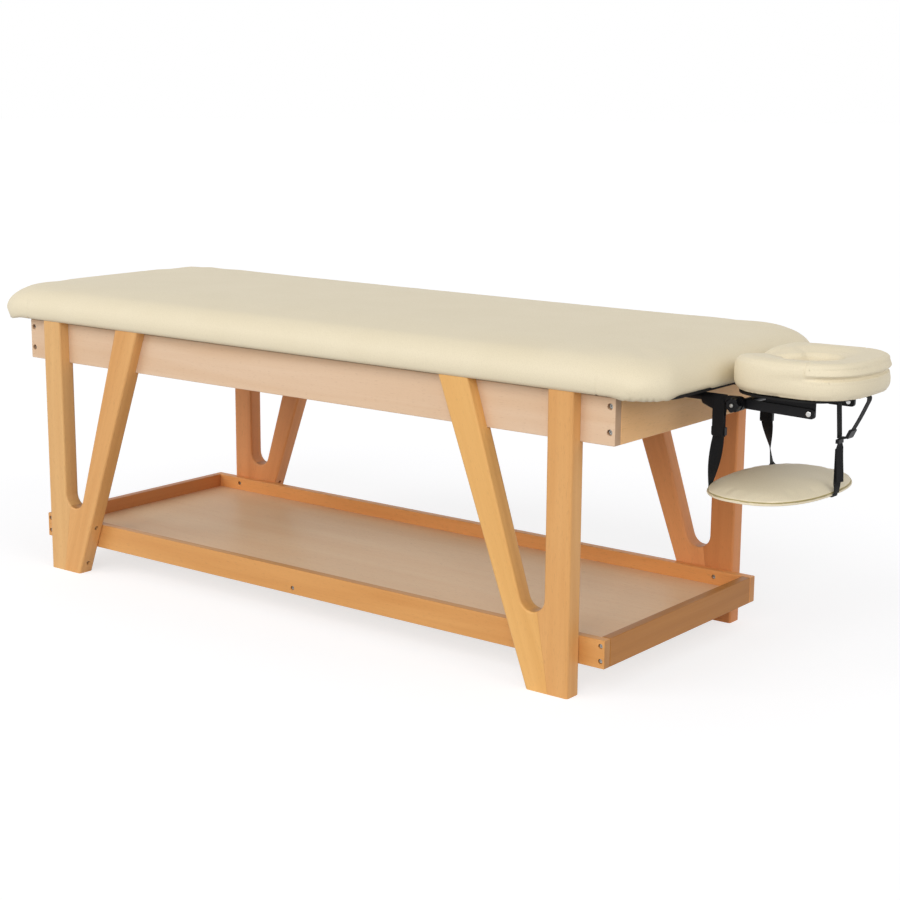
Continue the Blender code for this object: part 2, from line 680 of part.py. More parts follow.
# Arms and the spacer tube between them on the clamp bolt
arm_radius = ARM_CORNER
arm_slope = math.atan2(-TILT_DROP, ARM_LENGTH)
arm_outline = [((PIVOT_X + TILT_X) / 2 + x * math.cos(arm_slope) - z * math.sin(arm_slope),
                (PIVOT_Z + TILT_Z) / 2 + x * math.sin(arm_slope) + z * math.cos(arm_slope))
               for x, z in rounded_rectangle(ARM_LENGTH / 2 + ARM_END, ARM_HEIGHT / 2,
                                             arm_radius, 4, 1, 1)]
for side, sy in SIDES:
    y_low, y_high = sorted((sy * ARM_IN, sy * ARM_OUT))
    arm = add_part("arm_" + side, upright_plate(arm_outline, y_low, y_high), BLACK_STEEL, arms)
    boolean(arm, clamp_bore, "DIFFERENCE")
    boolean(arm, tilt_bore, "DIFFERENCE")
spacer_half = ARM_IN - CLEARANCE
spacer_bore = CLAMP_BOLT_RADIUS + CLEARANCE
add_part("arm_spacer",
         turned([(spacer_bore, -spacer_half), (spacer_bore, spacer_half),
                 (ROD_RADIUS, spacer_half), (ROD_RADIUS, -spacer_half)],
                "Y", (PIVOT_X, 0, PIVOT_Z), 20),
         STEEL, arms)

# Brackets that carry the platform on the arm ends, the pins they tilt on and their tie rod
bracket_out = ARM_IN - CLEARANCE
bracket_in = bracket_out - BRACKET_THICKNESS
bracket_front = TILT_X + ARM_END
bracket_rear = bracket_front - BRACKET_LENGTH
bracket_top = PLATFORM_BOTTOM - CLEARANCE
bracket_low = TILT_Z - ARM_HEIGHT / 2
bracket_outline = [(bracket_rear, bracket_top), (bracket_rear, bracket_top - 0.016),
                   (bracket_rear + 0.045, bracket_low + 0.003),
                   (bracket_rear + 0.051, bracket_low)]
bracket_outline += arc((bracket_front - 0.006, bracket_low + 0.006), 0.006, -90, 0, 4)
bracket_outline += [(bracket_front, bracket_top)]
for side, sy in SIDES:
    y_low, y_high = sorted((sy * bracket_in, sy * bracket_out))
    bracket = add_part("bracket_" + side, upright_plate(bracket_outline, y_low, y_high),
                       BLACK_STEEL, face)
    y_low, y_high = sorted((sy * (bracket_out - 0.0005), sy * (bracket_in - 0.010)))
    flange = add_cutter("bracket_flange_" + side,
                        block((bracket_rear + 0.002, y_low, bracket_top - BRACKET_THICKNESS),
                              (bracket_front - 0.002, y_high, bracket_top - 0.0001)),
                        face)
    boolean(bracket, flange, "UNION")
    boolean(bracket, tilt_bore, "DIFFERENCE")
    head = ARM_OUT + CLEARANCE
    inner = bracket_in - CLEARANCE
    pin = [(0, inner - 0.003), (0.0045, inner - 0.003), (0.0052, inner - 0.002), (0.0052, inner),
           (TILT_PIN_RADIUS, inner), (TILT_PIN_RADIUS, head), (0.0055, head),
           (0.0055, head + 0.0016), (0.0036, head + 0.0028), (0, head + 0.0028)]
    pin = [(r, sy * t) for r, t in pin]
    add_part("tilt_pin_" + side, turned(pin, "Y", (TILT_X, 0, TILT_Z), 20, closed=False),
             STEEL, arms)

tie_half = bracket_in - CLEARANCE
tie_z = bracket_top - BRACKET_THICKNESS - TIE_RADIUS - CLEARANCE
add_part("tie_rod",
         bar("Y", -tie_half, tie_half, TIE_RADIUS, (bracket_rear + TIE_RADIUS + 0.003, 0, tie_z)),
         BLACK_STEEL, face)

# Platform, the hook-and-loop pads on it and the face cushion
shoe = horseshoe()
platform_inset = []
for x, y in shoe:
    t = max(0.0, (x - CUSHION_MIDDLE - HOLE_HALF_X) / CUSHION_BAND)
    platform_inset.append(PLATFORM_SETBACK + (PLATFORM_CROWN_SETBACK - PLATFORM_SETBACK) * t)
add_part("platform",
         flat_plate(drawn_in(shoe, platform_inset), PLATFORM_BOTTOM, PLATFORM_TOP),
         BLACK_BOARD, face)
hook_y = CUSHION_WIDTH / 2 - CUSHION_BAND / 2
for side, sy in SIDES:
    add_part("hook_pad_" + side,
             block((CUSHION_MIDDLE - HOOK_LENGTH / 2, sy * hook_y - HOOK_WIDTH / 2, PLATFORM_TOP + CLEARANCE),
                   (CUSHION_MIDDLE + HOOK_LENGTH / 2, sy * hook_y + HOOK_WIDTH / 2,
                    PLATFORM_TOP + CLEARANCE + HOOK_THICKNESS)),
             WEBBING, face)
channel_weight = []
for x, y in shoe:
    t = min(1.0, max(0.0, (x - CUSHION_MIDDLE) / (CUSHION_LENGTH * 0.2)))
    channel_weight.append(t * t * (3 - 2 * t))
cushion_rings = []
for inset, share, channel in ((0.014, 0.0, 0.0), (0.004, 0.075, 0.0), (0.0, 0.24, 0.0),
                              (0.0, 0.50, 0.3), (0.0, 0.56, 1.0), (0.0, 0.62, 0.3),
                              (0.0, 0.72, 0.0), (0.004, 0.84, 0.0), (0.0115, 0.95, 0.0),
                              (0.024, 1.0, 0.0)):
    amounts = [inset * (1 - 0.4 * w) + CUSHION_CHANNEL * channel * w for w in channel_weight]
    cushion_rings.append([(x, y, CUSHION_BOTTOM + CUSHION_THICKNESS * share)
                          for x, y in drawn_in(shoe, amounts)])
add_part("face_cushion", loft(cushion_rings), CREAM, face)


def armrest_outline(scale=1.0, inset=0.0):
    """The arm rest's outline, shrunk towards its middle."""
    points = []
    for i in range(48):
        x, y = superellipse_point(ARMREST_LENGTH / 2 * scale - inset,
                                  ARMREST_WIDTH / 2 * scale - inset,
                                  ARMREST_POWER, 2 * math.pi * i / 48)
        points.append((ARMREST_X + x, y))
    return points


# Arm rest: a board and a domed pad
board_top = RIM_Z - CLEARANCE
add_part("armrest_board",
         flat_plate(armrest_outline(1.0, ARMREST_BOARD_SETBACK),
                    board_top - ARMREST_BOARD, board_top),
         BLACK_BOARD, rest)
pad_low = RIM_Z
dome = ARMREST_CROWN - ARMREST_RIM
armrest_rings = [[(x, y, pad_low) for x, y in armrest_outline(1.0, 0.0025)],
                 [(x, y, pad_low + ARMREST_RIM) for x, y in armrest_outline()]]
for a in (18, 36, 54, 70, 82):
    shrink = math.cos(math.radians(a)) ** 0.85
    level = pad_low + ARMREST_RIM + dome * math.sin(math.radians(a))
    armrest_rings.append([(x, y, level) for x, y in armrest_outline(shrink)])
add_part("armrest_pad", loft(armrest_rings), CREAM, rest)

# Rear straps: a loop round each rod, a buckle on its tail and a strap that turns to the rim
tail_half = STRAP_THICKNESS
loop_in = ROD_RADIUS + CLEARANCE
loop_out = loop_in + STRAP_THICKNESS
loop_outer = [(tail_half, STRAP_TAIL_Z), (tail_half, LOOP_JOIN_Z)]
loop_outer += arc((0, ROD_Z), loop_out, -8, 188, 14)
loop_outer += [(-tail_half, LOOP_JOIN_Z), (-tail_half, STRAP_TAIL_Z)]
loop_inner = [(0, LOOP_JOIN_Z + 0.004)] + arc((0, ROD_Z), loop_in, -8, 188, 14)
strap_y = tail_half + CLEARANCE * 2 + STRAP_THICKNESS / 2
slot_x = STRAP_WIDTH / 2 + STRAP_PLAY
slot_in = -tail_half - STRAP_PLAY
slot_out = strap_y + STRAP_THICKNESS / 2 + STRAP_PLAY
strap_top = LOOP_JOIN_Z - 0.002
twist_z = STRAP_TAIL_Z - 0.001
swing_lift = math.sin(math.radians(ARMREST_SWING))
behind = Vector((-SWING_AXIS.y, SWING_AXIS.x, 0))


def frame_of(low_x, high_x, low_y, high_y):
    """A rectangle's corners."""
    return [(low_x, low_y), (high_x, low_y), (high_x, high_y), (low_x, high_y)]


for side, sy in SIDES:
    loop = ribbon(loop_outer, loop_inner, STRAP_WIDTH / 2)
    for vert in loop.verts:
        across, up, along = vert.co
        vert.co = (STRAP_X + along, sy * ROD_Y + across, up)
    add_part("rear_strap_loop_" + side, loop, WEBBING, base)
    low_y, high_y = sorted((sy * slot_in, sy * slot_out))
    buckle = ribbon(frame_of(-slot_x - BUCKLE_SIDE, slot_x + BUCKLE_SIDE,
                             low_y - BUCKLE_WALL, high_y + BUCKLE_WALL),
                    frame_of(-slot_x, slot_x, low_y, high_y), BUCKLE_HEIGHT / 2)
    bmesh.ops.translate(buckle, verts=buckle.verts, vec=(STRAP_X, sy * ROD_Y, BUCKLE_Z))
    add_part("rear_buckle_" + side, buckle, BLACK_PLASTIC, base)
    start = Vector((STRAP_X, sy * (ROD_Y + strap_y), 0))
    way = RIM_AT[side][1]
    end_turn = -sy * (math.pi - math.atan2(abs(way.x), abs(way.y)))
    levels = [(strap_top, 0.0)]
    for k in range(10):
        levels.append((twist_z + (RIM_JOINT_Z + 0.0005 - twist_z) * k / 9, k / 9))
    strap_rings = []
    for level, t in levels:
        middle = start.lerp(SWING_AT[side], t)
        wide = Vector((math.cos(end_turn * t), math.sin(end_turn * t), 0)) * (STRAP_WIDTH / 2)
        thick = Vector((-math.sin(end_turn * t), math.cos(end_turn * t), 0)) * (STRAP_THICKNESS / 2)
        corners = [middle + wide * a + thick * b for a, b in ((1, 1), (-1, 1), (-1, -1), (1, -1))]
        strap_rings.append([(point.x, point.y, level) for point in corners])
    strap_rings[-1] = [
        (x, y, z + swing_lift * max(0.0, (Vector((x, y, 0)) - SWING_MIDDLE).dot(behind)))
        for x, y, z in strap_rings[-1]]
    strap = loft(strap_rings)
    bmesh.ops.triangulate(strap, faces=strap.faces)
    add_part("rear_strap_" + side, strap, WEBBING, hanger)


def strap_end(width):
    """A strap's end, folded over the rim and under the pad; its rim stands at x = 0."""
    under = RIM_Z - CLEARANCE
    face_x = CLEARANCE + STRAP_THICKNESS
    reach = -ARMREST_BOARD_SETBACK * 0.7
    outline = [(face_x, RIM_JOINT_Z), (CLEARANCE, RIM_JOINT_Z), (CLEARANCE, under), (reach, under),
               (reach, under - STRAP_THICKNESS), (face_x, under - STRAP_THICKNESS)]
    return upright_plate(outline, -width / 2, width / 2)


for side, sy in SIDES:
    piece = strap_end(STRAP_WIDTH)
    point, way = RIM_AT[side]
    bmesh.ops.transform(piece, matrix=Matrix.Rotation(math.atan2(way.y, way.x), 4, "Z"),
                        verts=piece.verts)
    bmesh.ops.translate(piece, verts=piece.verts, vec=point)
    add_part("strap_end_" + side, piece, WEBBING, rest)
piece = strap_end(FRONT_STRAP_WIDTH)
bmesh.ops.translate(piece, verts=piece.verts, vec=(ARMREST_X + ARMREST_LENGTH / 2, 0, 0))
add_part("strap_end_front", piece, WEBBING, rest)

# Front strap: a loop over the platform's crown with a slide on its outer leg, the strap below it,
# its tail and the keeper that holds the two together
strap_share = FRONT_STRAP_WIDTH / 2 / (HOLE_HALF_Y + PLATFORM_SETBACK)
hole_end = (HOLE_HALF_X + PLATFORM_SETBACK) * (1 - strap_share ** HOLE_POWER) ** (1 / HOLE_POWER)
crown_in = CUSHION_MIDDLE + hole_end - 2 * CLEARANCE
crown_out = CUSHION_FRONT - PLATFORM_CROWN_SETBACK + CLEARANCE
over = PLATFORM_TOP + CLEARANCE
below = PLATFORM_BOTTOM - STRAP_DROP
t = STRAP_THICKNESS
bow_x = crown_out + STRAP_BOW
bend = (APEX_X + SLIDE_OUT, APEX_Z + SLIDE_LIFT)
front_outer = [(APEX_X - t, APEX_Z), (APEX_X + t, APEX_Z), (bend[0] + 0.4 * t, bend[1] - 0.4 * t),
               (bow_x + t, below), (bow_x, PLATFORM_TOP), (crown_out + t, over + t),
               (crown_in - t, over + t), (crown_in - t, below), (APEX_X - t, APEX_Z + 0.004)]
front_inner = [(APEX_X + 0.2 * t, APEX_Z + 0.005), (bend[0] - 0.6 * t, bend[1] + 0.4 * t),
               (bow_x, below), (bow_x - t, PLATFORM_TOP - t), (crown_out, over), (crown_in, over),
               (crown_in, below)]
loop = ribbon(front_outer, front_inner, FRONT_STRAP_WIDTH / 2)
for vert in loop.verts:
    along, up, across = vert.co
    vert.co = (along, -across, up)
add_part("front_strap_loop", loop, WEBBING, face)
strap_low = FRONT_X + STRAP_THICKNESS + CLEARANCE
add_part("front_strap",
         block((strap_low, -FRONT_STRAP_WIDTH / 2, RIM_Z + FREE_END_LIFT),
               (strap_low + STRAP_THICKNESS, FRONT_STRAP_WIDTH / 2, APEX_Z - CLEARANCE)),
         WEBBING, front)
add_part("front_strap_tail",
         block((FRONT_X, -FRONT_STRAP_WIDTH / 2, RIM_JOINT_Z + 0.0005),
               (FRONT_X + STRAP_THICKNESS, FRONT_STRAP_WIDTH / 2, APEX_Z - 0.012)),
         WEBBING, tail)
slot_low = FRONT_X - STRAP_PLAY
slot_high = strap_low + STRAP_THICKNESS + STRAP_PLAY
slot_y = FRONT_STRAP_WIDTH / 2 + STRAP_PLAY
keeper_y = slot_y + KEEPER_WALL
keeper = ribbon(frame_of(slot_low - KEEPER_WALL, slot_high + KEEPER_WALL, -keeper_y, keeper_y),
                frame_of(slot_low, slot_high, -slot_y, slot_y), KEEPER_HEIGHT / 2)
bmesh.ops.translate(keeper, verts=keeper.verts,
                    vec=(0, 0, APEX_Z - 0.0025 - KEEPER_HEIGHT / 2))
add_part("front_buckle", keeper, BLACK_PLASTIC, front)
leg_way = Vector((bow_x - bend[0], 0, below - bend[1])).normalized()
slide_slot = t / 2 + STRAP_PLAY
slide_half = slide_slot + SLIDE_WALL
slide_y = slot_y + SLIDE_SIDE
slide = ribbon(frame_of(-slide_half, slide_half, -slide_y, slide_y),
               frame_of(-slide_slot, slide_slot, -slot_y, slot_y), SLIDE_HEIGHT / 2)
bmesh.ops.transform(slide, matrix=Matrix.Rotation(math.atan2(leg_way.x, leg_way.z), 4, "Y"),
                    verts=slide.verts)
bmesh.ops.translate(slide, verts=slide.verts,
                    vec=Vector((bend[0], 0, bend[1])) + leg_way * (SLIDE_HEIGHT / 2 + t))
add_part("loop_slide", slide, BLACK_PLASTIC, arms)
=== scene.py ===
# %% [markdown]
# # A massage table, dressed for its portrait
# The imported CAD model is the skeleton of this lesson: it says where each board, rod and hinge is.
# Nothing here moves it. Each piece below stands where its CAD solid stands, but with the rounded
# edges, stitched cloth, grain and screws that a plain solid leaves out.

# %% Load the fixed frame
import json
import math

import bmesh
import bpy
from mathutils import Matrix, Vector
from mathutils.bvhtree import BVHTree
from mathutils.kdtree import KDTree

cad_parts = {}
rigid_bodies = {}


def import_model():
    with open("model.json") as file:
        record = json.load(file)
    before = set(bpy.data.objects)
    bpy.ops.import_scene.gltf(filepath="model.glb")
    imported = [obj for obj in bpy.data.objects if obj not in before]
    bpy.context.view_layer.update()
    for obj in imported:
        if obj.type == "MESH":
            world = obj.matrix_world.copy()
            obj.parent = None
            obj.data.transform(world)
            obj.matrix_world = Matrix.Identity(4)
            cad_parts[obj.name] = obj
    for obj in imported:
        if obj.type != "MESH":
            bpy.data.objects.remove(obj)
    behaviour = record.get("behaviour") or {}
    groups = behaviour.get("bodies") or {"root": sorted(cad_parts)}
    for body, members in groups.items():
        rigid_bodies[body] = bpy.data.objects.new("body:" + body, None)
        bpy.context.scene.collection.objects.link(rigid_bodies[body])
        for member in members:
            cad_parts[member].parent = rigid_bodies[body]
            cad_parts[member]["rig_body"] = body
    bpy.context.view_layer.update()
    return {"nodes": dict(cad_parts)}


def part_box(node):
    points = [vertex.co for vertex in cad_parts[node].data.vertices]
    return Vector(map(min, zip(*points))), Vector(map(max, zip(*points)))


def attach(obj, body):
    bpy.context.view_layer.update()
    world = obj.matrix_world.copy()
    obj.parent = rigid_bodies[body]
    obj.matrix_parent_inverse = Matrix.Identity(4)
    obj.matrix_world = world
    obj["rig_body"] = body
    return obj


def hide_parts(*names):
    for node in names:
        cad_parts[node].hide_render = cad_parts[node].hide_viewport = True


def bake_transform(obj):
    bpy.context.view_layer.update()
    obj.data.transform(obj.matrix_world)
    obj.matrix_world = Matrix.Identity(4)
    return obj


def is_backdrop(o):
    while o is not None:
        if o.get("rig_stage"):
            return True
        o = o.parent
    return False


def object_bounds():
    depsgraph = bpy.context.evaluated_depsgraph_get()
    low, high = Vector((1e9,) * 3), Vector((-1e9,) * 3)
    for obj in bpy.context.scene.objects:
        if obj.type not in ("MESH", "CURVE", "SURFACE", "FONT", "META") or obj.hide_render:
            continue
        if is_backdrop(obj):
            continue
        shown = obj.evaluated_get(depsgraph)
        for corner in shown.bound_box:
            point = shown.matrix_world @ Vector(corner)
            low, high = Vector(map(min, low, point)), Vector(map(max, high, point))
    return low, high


for leftover in list(bpy.data.objects):
    bpy.data.objects.remove(leftover, do_unlink=True)
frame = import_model()
scene = bpy.context.scene

# %% [markdown]
# ## The camera
# A camera can be aimed by eye, or its place can be worked out from points whose size is known.
# Here the second way was used, so the lens, the distance and the small roll are plain numbers.
# Turning about Z, then X, then the camera's own axis is the order in which a tripod head turns.

# %% The camera
CAMERA_AT = Vector((2.5188, -3.1533, 1.2084))
TURN, TILT, ROLL = (math.radians(a) for a in (37.8467, 90 - 11.8608, 0.3799))
LENS_MM = 72.557
camera = bpy.data.objects.new("camera", bpy.data.cameras.new("camera"))
camera.data.lens = LENS_MM
camera.matrix_world = (Matrix.Translation(CAMERA_AT) @ Matrix.Rotation(TURN, 4, "Z")
                       @ Matrix.Rotation(TILT, 4, "X") @ Matrix.Rotation(ROLL, 4, "Z"))
scene.collection.objects.link(camera)
scene.camera = camera
print("camera looks along", [round(v, 3) for v in camera.matrix_world.col[2].xyz * -1])

# %% [markdown]
# ## Two small tools for materials
# Colours are picked on a screen as sRGB hex values, but Blender mixes light in linear values, so
# one function turns the first into the second. The other adds a node to a material: options are
# set, constants are written on sockets, and a socket given as a value becomes a link.


# %% Colour and node helpers
def linear(hex_colour):
    """An sRGB hex colour as linear red, green, blue and alpha."""
    shares = [int(hex_colour[i:i + 2], 16) / 255 for i in (1, 3, 5)]
    return [c / 12.92 if c <= 0.04045 else ((c + 0.055) / 1.055) ** 2.4 for c in shares] + [1.0]


def node(tree, kind, inputs, **options):
    """Adds a node with its options, its constants and its links, and gives its outputs."""
    made = tree.nodes.new("ShaderNode" + kind)
    for name, value in options.items():
        setattr(made, name, value)
    for key, value in inputs.items():
        if isinstance(value, bpy.types.NodeSocket):
            tree.links.new(value, made.inputs[key])
        else:
            made.inputs[key].default_value = value
    return made.outputs


def new_material(name):
    """An empty material and its node tree."""
    look = bpy.data.materials.new(name)
    look.use_nodes = True
    look.node_tree.nodes.clear()
    return look, look.node_tree


print("mid grey is", [round(c, 3) for c in linear("#808080")])

# %% [markdown]
# ## Floor and light
# The table stands in a white studio. A floor that only reflects light never looks quite white, so
# part of its brightness is its own glow, seen by the camera and by shiny things but lighting
# nothing. The rest is reflected light, and that is the part in which the table leaves a shadow.
# Three wide suns stand for big softboxes, two in front and a weaker one at the head end. All are
# low, so that their light also comes in under the table, and the world fills the shadows.

# %% Studio floor
PAPER_LIT, PAPER_SEEN = "#dadadb", "#b0b0b2"
WHITE = (1, 1, 1, 1)
FLOOR_RADIUS = 40.0
FLOOR_GLOW = 0.685


def seen_directly(tree):
    """1 where the camera or a shiny or clear surface looks, 0 for light that falls on things."""
    path = node(tree, "LightPath", {})
    first = node(tree, "Math", {0: path["Is Camera Ray"], 1: path["Is Glossy Ray"]},
                 operation="MAXIMUM")
    return node(tree, "Math", {0: first[0], 1: path["Is Transmission Ray"]}, operation="MAXIMUM")[0]


look, tree = new_material("studio_paper")
seen = seen_directly(tree)
glow = node(tree, "Math", {0: seen, 1: FLOOR_GLOW}, operation="MULTIPLY")[0]
paper = node(tree, "Mix", {0: seen, 6: linear(PAPER_LIT), 7: linear(PAPER_SEEN)},
             data_type="RGBA")[2]
paper = node(tree, "BsdfDiffuse", {"Color": paper})[0]
own = node(tree, "Emission", {"Color": WHITE, "Strength": glow})[0]
node(tree, "OutputMaterial", {"Surface": node(tree, "AddShader", {0: paper, 1: own})[0]})

shape = bmesh.new()
bmesh.ops.create_circle(shape, cap_ends=True, segments=96, radius=FLOOR_RADIUS)
floor = bpy.data.objects.new("floor", bpy.data.meshes.new("floor"))
shape.to_mesh(floor.data)
shape.free()
floor.data.materials.append(look)
scene.collection.objects.link(floor)
floor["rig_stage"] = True
print("floor of", 2 * FLOOR_RADIUS, "m")

# %% World and softboxes
FILL = 0.405
SOFTBOXES = [("front_left_softbox", 0.86, Vector((-0.44, -0.76, 0.48))),
             ("front_right_softbox", 1.08, Vector((0.37, -0.79, 0.49))),
             ("head_end_softbox", 0.58, Vector((0.875, -0.110, 0.47)))]
SOFTBOX_WIDTH = 40.0                       # how wide each looks from the table, in degrees
world = bpy.data.worlds.new("studio")
world.use_nodes = True
tree = world.node_tree
tree.nodes.clear()
level = node(tree, "MapRange", {"Value": seen_directly(tree), "To Min": FILL, "To Max": 1.0})[0]
sky = node(tree, "Background", {"Color": WHITE, "Strength": level})[0]
node(tree, "OutputWorld", {"Surface": sky})
scene.world = world

for name, strength, come_from in SOFTBOXES:
    softbox = bpy.data.objects.new(name, bpy.data.lights.new(name, "SUN"))
    softbox.data.energy = strength
    softbox.data.angle = math.radians(SOFTBOX_WIDTH)
    softbox.rotation_euler = come_from.to_track_quat("Z", "Y").to_euler()
    scene.collection.objects.link(softbox)
scene.view_settings.view_transform = "Standard"
print("world and", len(SOFTBOXES), "softboxes")

# %% [markdown]
# ## Beech
# The legs, rails and aprons are steamed beech under clear satin lacquer. Beech is even and fine:
# soft growth streaks a couple of centimetres wide run along each board, and short brown flecks,
# which are the wood's rays cut across, lie along the grain. A texture in three dimensions suits a
# solid board, because the streaks then carry on round its edges and turn to dots on the end grain.
# Each board gets its own material, with the pattern turned along it and moved, so no two match.


# %% Beech boards
FLECK, END_GRAIN = "#9c6a3c", "#8e5f38"


def beech(name, turn, tone, start, figure, shine):
    """Lacquered beech with its grain along the board's own X, turned by three angles."""
    look, tree = new_material(name)
    place = node(tree, "TexCoord", {})
    board = node(tree, "Mapping", {"Vector": place["Object"], "Location": start, "Rotation": turn},
                 vector_type="TEXTURE")[0]
    # Growth streaks: as wide as the figure, 22 mm in solid boards, and 0.7 m long
    wide = node(tree, "VectorMath", {0: board, 1: (0.70, figure, figure * 1.6)},
                operation="DIVIDE")[0]
    growth = node(tree, "TexNoise", {"Vector": wide, "Scale": 1.0, "Detail": 3.0,
                                     "Roughness": 0.55, "Distortion": 0.35})["Fac"]
    # Fine streaks: 3 mm wide, drawn coarser than the pores they stand for, so that they show
    thin = node(tree, "VectorMath", {0: board, 1: (0.16, 0.003, 0.003)}, operation="DIVIDE")[0]
    pores = node(tree, "TexNoise", {"Vector": thin, "Scale": 1.0, "Detail": 2.0})["Fac"]
    # Ray flecks: 14 mm long and 1.5 mm wide, about twice their real size, so that they show
    short = node(tree, "VectorMath", {0: board, 1: (0.014, 0.0015, 0.0015)}, operation="DIVIDE")[0]
    rays = node(tree, "TexNoise", {"Vector": short, "Scale": 1.0, "Detail": 1.0})["Fac"]
    fleck = node(tree, "MapRange", {"Value": rays, "From Min": 0.62, "From Max": 0.74,
                                    "To Max": 0.22})[0]
    streak = node(tree, "MapRange", {"Value": growth, "From Min": 0.28, "From Max": 0.72})[0]
    streak = node(tree, "Mix", {0: 0.25, 2: streak, 3: pores}, data_type="FLOAT")[0]
    early, late = (linear(colour) for colour in tone)
    colour = node(tree, "Mix", {0: streak, 6: early, 7: late}, data_type="RGBA")[2]
    colour = node(tree, "Mix", {0: fleck, 6: colour, 7: linear(FLECK)}, data_type="RGBA")[2]
    # End grain drinks more lacquer and looks darker: it is where the surface faces along the board
    facing = node(tree, "VectorRotate", {"Vector": place["Normal"], "Rotation": turn},
                  rotation_type="EULER_XYZ", invert=True)[0]
    facing = node(tree, "SeparateXYZ", {0: facing})[0]
    along = node(tree, "Math", {0: facing}, operation="ABSOLUTE")[0]
    end = node(tree, "MapRange", {"Value": along, "From Min": 0.75, "From Max": 0.95,
                                  "To Max": 0.45})[0]
    colour = node(tree, "Mix", {0: end, 6: colour, 7: linear(END_GRAIN)}, data_type="RGBA")[2]
    rough = node(tree, "MapRange", {"Value": pores, "To Min": 0.34, "To Max": 0.50})[0]
    bump = node(tree, "Bump", {"Height": pores, "Strength": 0.12, "Distance": 0.0004})[0]
    shader = node(tree, "BsdfPrincipled", {"Base Color": colour, "Roughness": rough, "IOR": 1.50,
                                           "Specular IOR Level": shine, "Normal": bump})[0]
    node(tree, "OutputMaterial", {"Surface": shader})
    return look


print("beech flecks in", FLECK)

# %% [markdown]
# ## Tones of the boards
# No two boards of a tree are the same colour. The legs and rails are honey coloured, the aprons
# paler, the shelf a pinkish veneer, and some boards have a tone of their own. Several tones also
# hold painted light: the far legs, the far rail and the foot rail are painted redder, and the head
# rail darker, for the shade under the table and on the head end. The shelf veneer and the head
# apron are painted lighter to make up for the shade they lie in. Each tone is a pair: the early
# wood, and the darker late wood of its streaks.

# %% Grain directions and tones
QUARTER = math.pi / 2
ALONG = {"x": (0, 0, 0), "y": (0, 0, QUARTER), "z": (0, -QUARTER, 0)}
HONEY = "#e6b070", "#d49858"
PALE = "#e6c9ac", "#dab590"
# Pale plywood with painted light: made lighter still to make up for the shade under the table top
VENEER = "#fddab2", "#f5cb9f"
# The head apron's own oranger tone with painted light: made lighter to make up for the shade under
# the pad's overhang
AMBER = "#f8c890", "#eeb87c"
STRAW = "#e7b97b", "#d8a468"
GOLD = "#f0bd75", "#dfa65e"
# Painted light: the far rail's tone is redder and lighter, for the shade and warm bounce under the
# table
APRICOT = "#f6b26e", "#e69c58"
# Painted shade: the head rail's tone is darker, for the shade on the table's head end
TOFFEE = "#bd803c", "#ab6e30"
# Painted light: the far legs' tones are redder, the posts darker and the braces lighter, for the
# shade and warm bounce under the table
RUSSET = "#f0a86c", "#de935a"
SIENNA = "#e4985c", "#d2844c"
COPPER = "#fab071", "#e79a5f"
WHEAT = "#e2a866", "#cf904e"
# Painted shade: the foot rail's tone is darker and redder, for the shade under the table
CHESTNUT = "#da935c", "#c8814b"
print("beech along", list(ALONG))

# %% [markdown]
# ## Leather cloth
# The pads are covered in cream upholstery vinyl, which is embossed with a fine pebble grain and
# has a soft silky shine. The grain is a bump: cells 1.6 mm across with shallow creases between
# them, and the creases are painted a little darker as painted shade. Slow changes of tone over a
# hand's width keep the large pad from looking painted.

# %% Cream vinyl
CREAM, CREAM_DARK, CREASE_SHADE = "#ece0c4", "#e6d9bb", "#c3b495"
PEBBLE, HAND = 0.0016, 0.12
look, tree = new_material("cream_upholstery_vinyl")
place = node(tree, "TexCoord", {})["Object"]
cells = node(tree, "TexVoronoi", {"Vector": place, "Scale": 1 / PEBBLE, "Smoothness": 0.4},
             feature="SMOOTH_F1")["Distance"]
drift = node(tree, "TexNoise", {"Vector": place, "Scale": 1 / HAND, "Detail": 2.0})["Fac"]
colour = node(tree, "Mix", {0: drift, 6: linear(CREAM), 7: linear(CREAM_DARK)}, data_type="RGBA")[2]
# Painted shade: the creases between the pebbles are darker
crease = node(tree, "MapRange", {"Value": cells, "From Min": 0.35, "From Max": 0.75,
                                 "To Max": 0.16})[0]
colour = node(tree, "Mix", {0: crease, 6: colour, 7: linear(CREASE_SHADE)}, data_type="RGBA")[2]
rough = node(tree, "MapRange", {"Value": cells, "From Max": 0.8, "To Min": 0.42, "To Max": 0.54})[0]
bump = node(tree, "Bump", {"Height": cells, "Strength": 0.18, "Distance": 0.0003}, invert=True)[0]
shader = node(tree, "BsdfPrincipled", {"Base Color": colour, "Roughness": rough, "IOR": 1.48,
                                       "Specular IOR Level": 0.35, "Normal": bump})[0]
node(tree, "OutputMaterial", {"Surface": shader})
VINYL = look
print("vinyl pebbles of", 1000 * PEBBLE, "mm")

# %% [markdown]
# ## Metal, plastic, painted board and trim
# These finishes differ mostly in colour and in how rough they are, so one recipe serves them all: a
# fine grain of a given size that changes tone and roughness a little and lifts the surface by less
# than a millimetre. What a finish is in reality gives the size of its grain; where the real one is
# too fine to show in a picture of the whole table, the grain is drawn one or two millimetres wide.


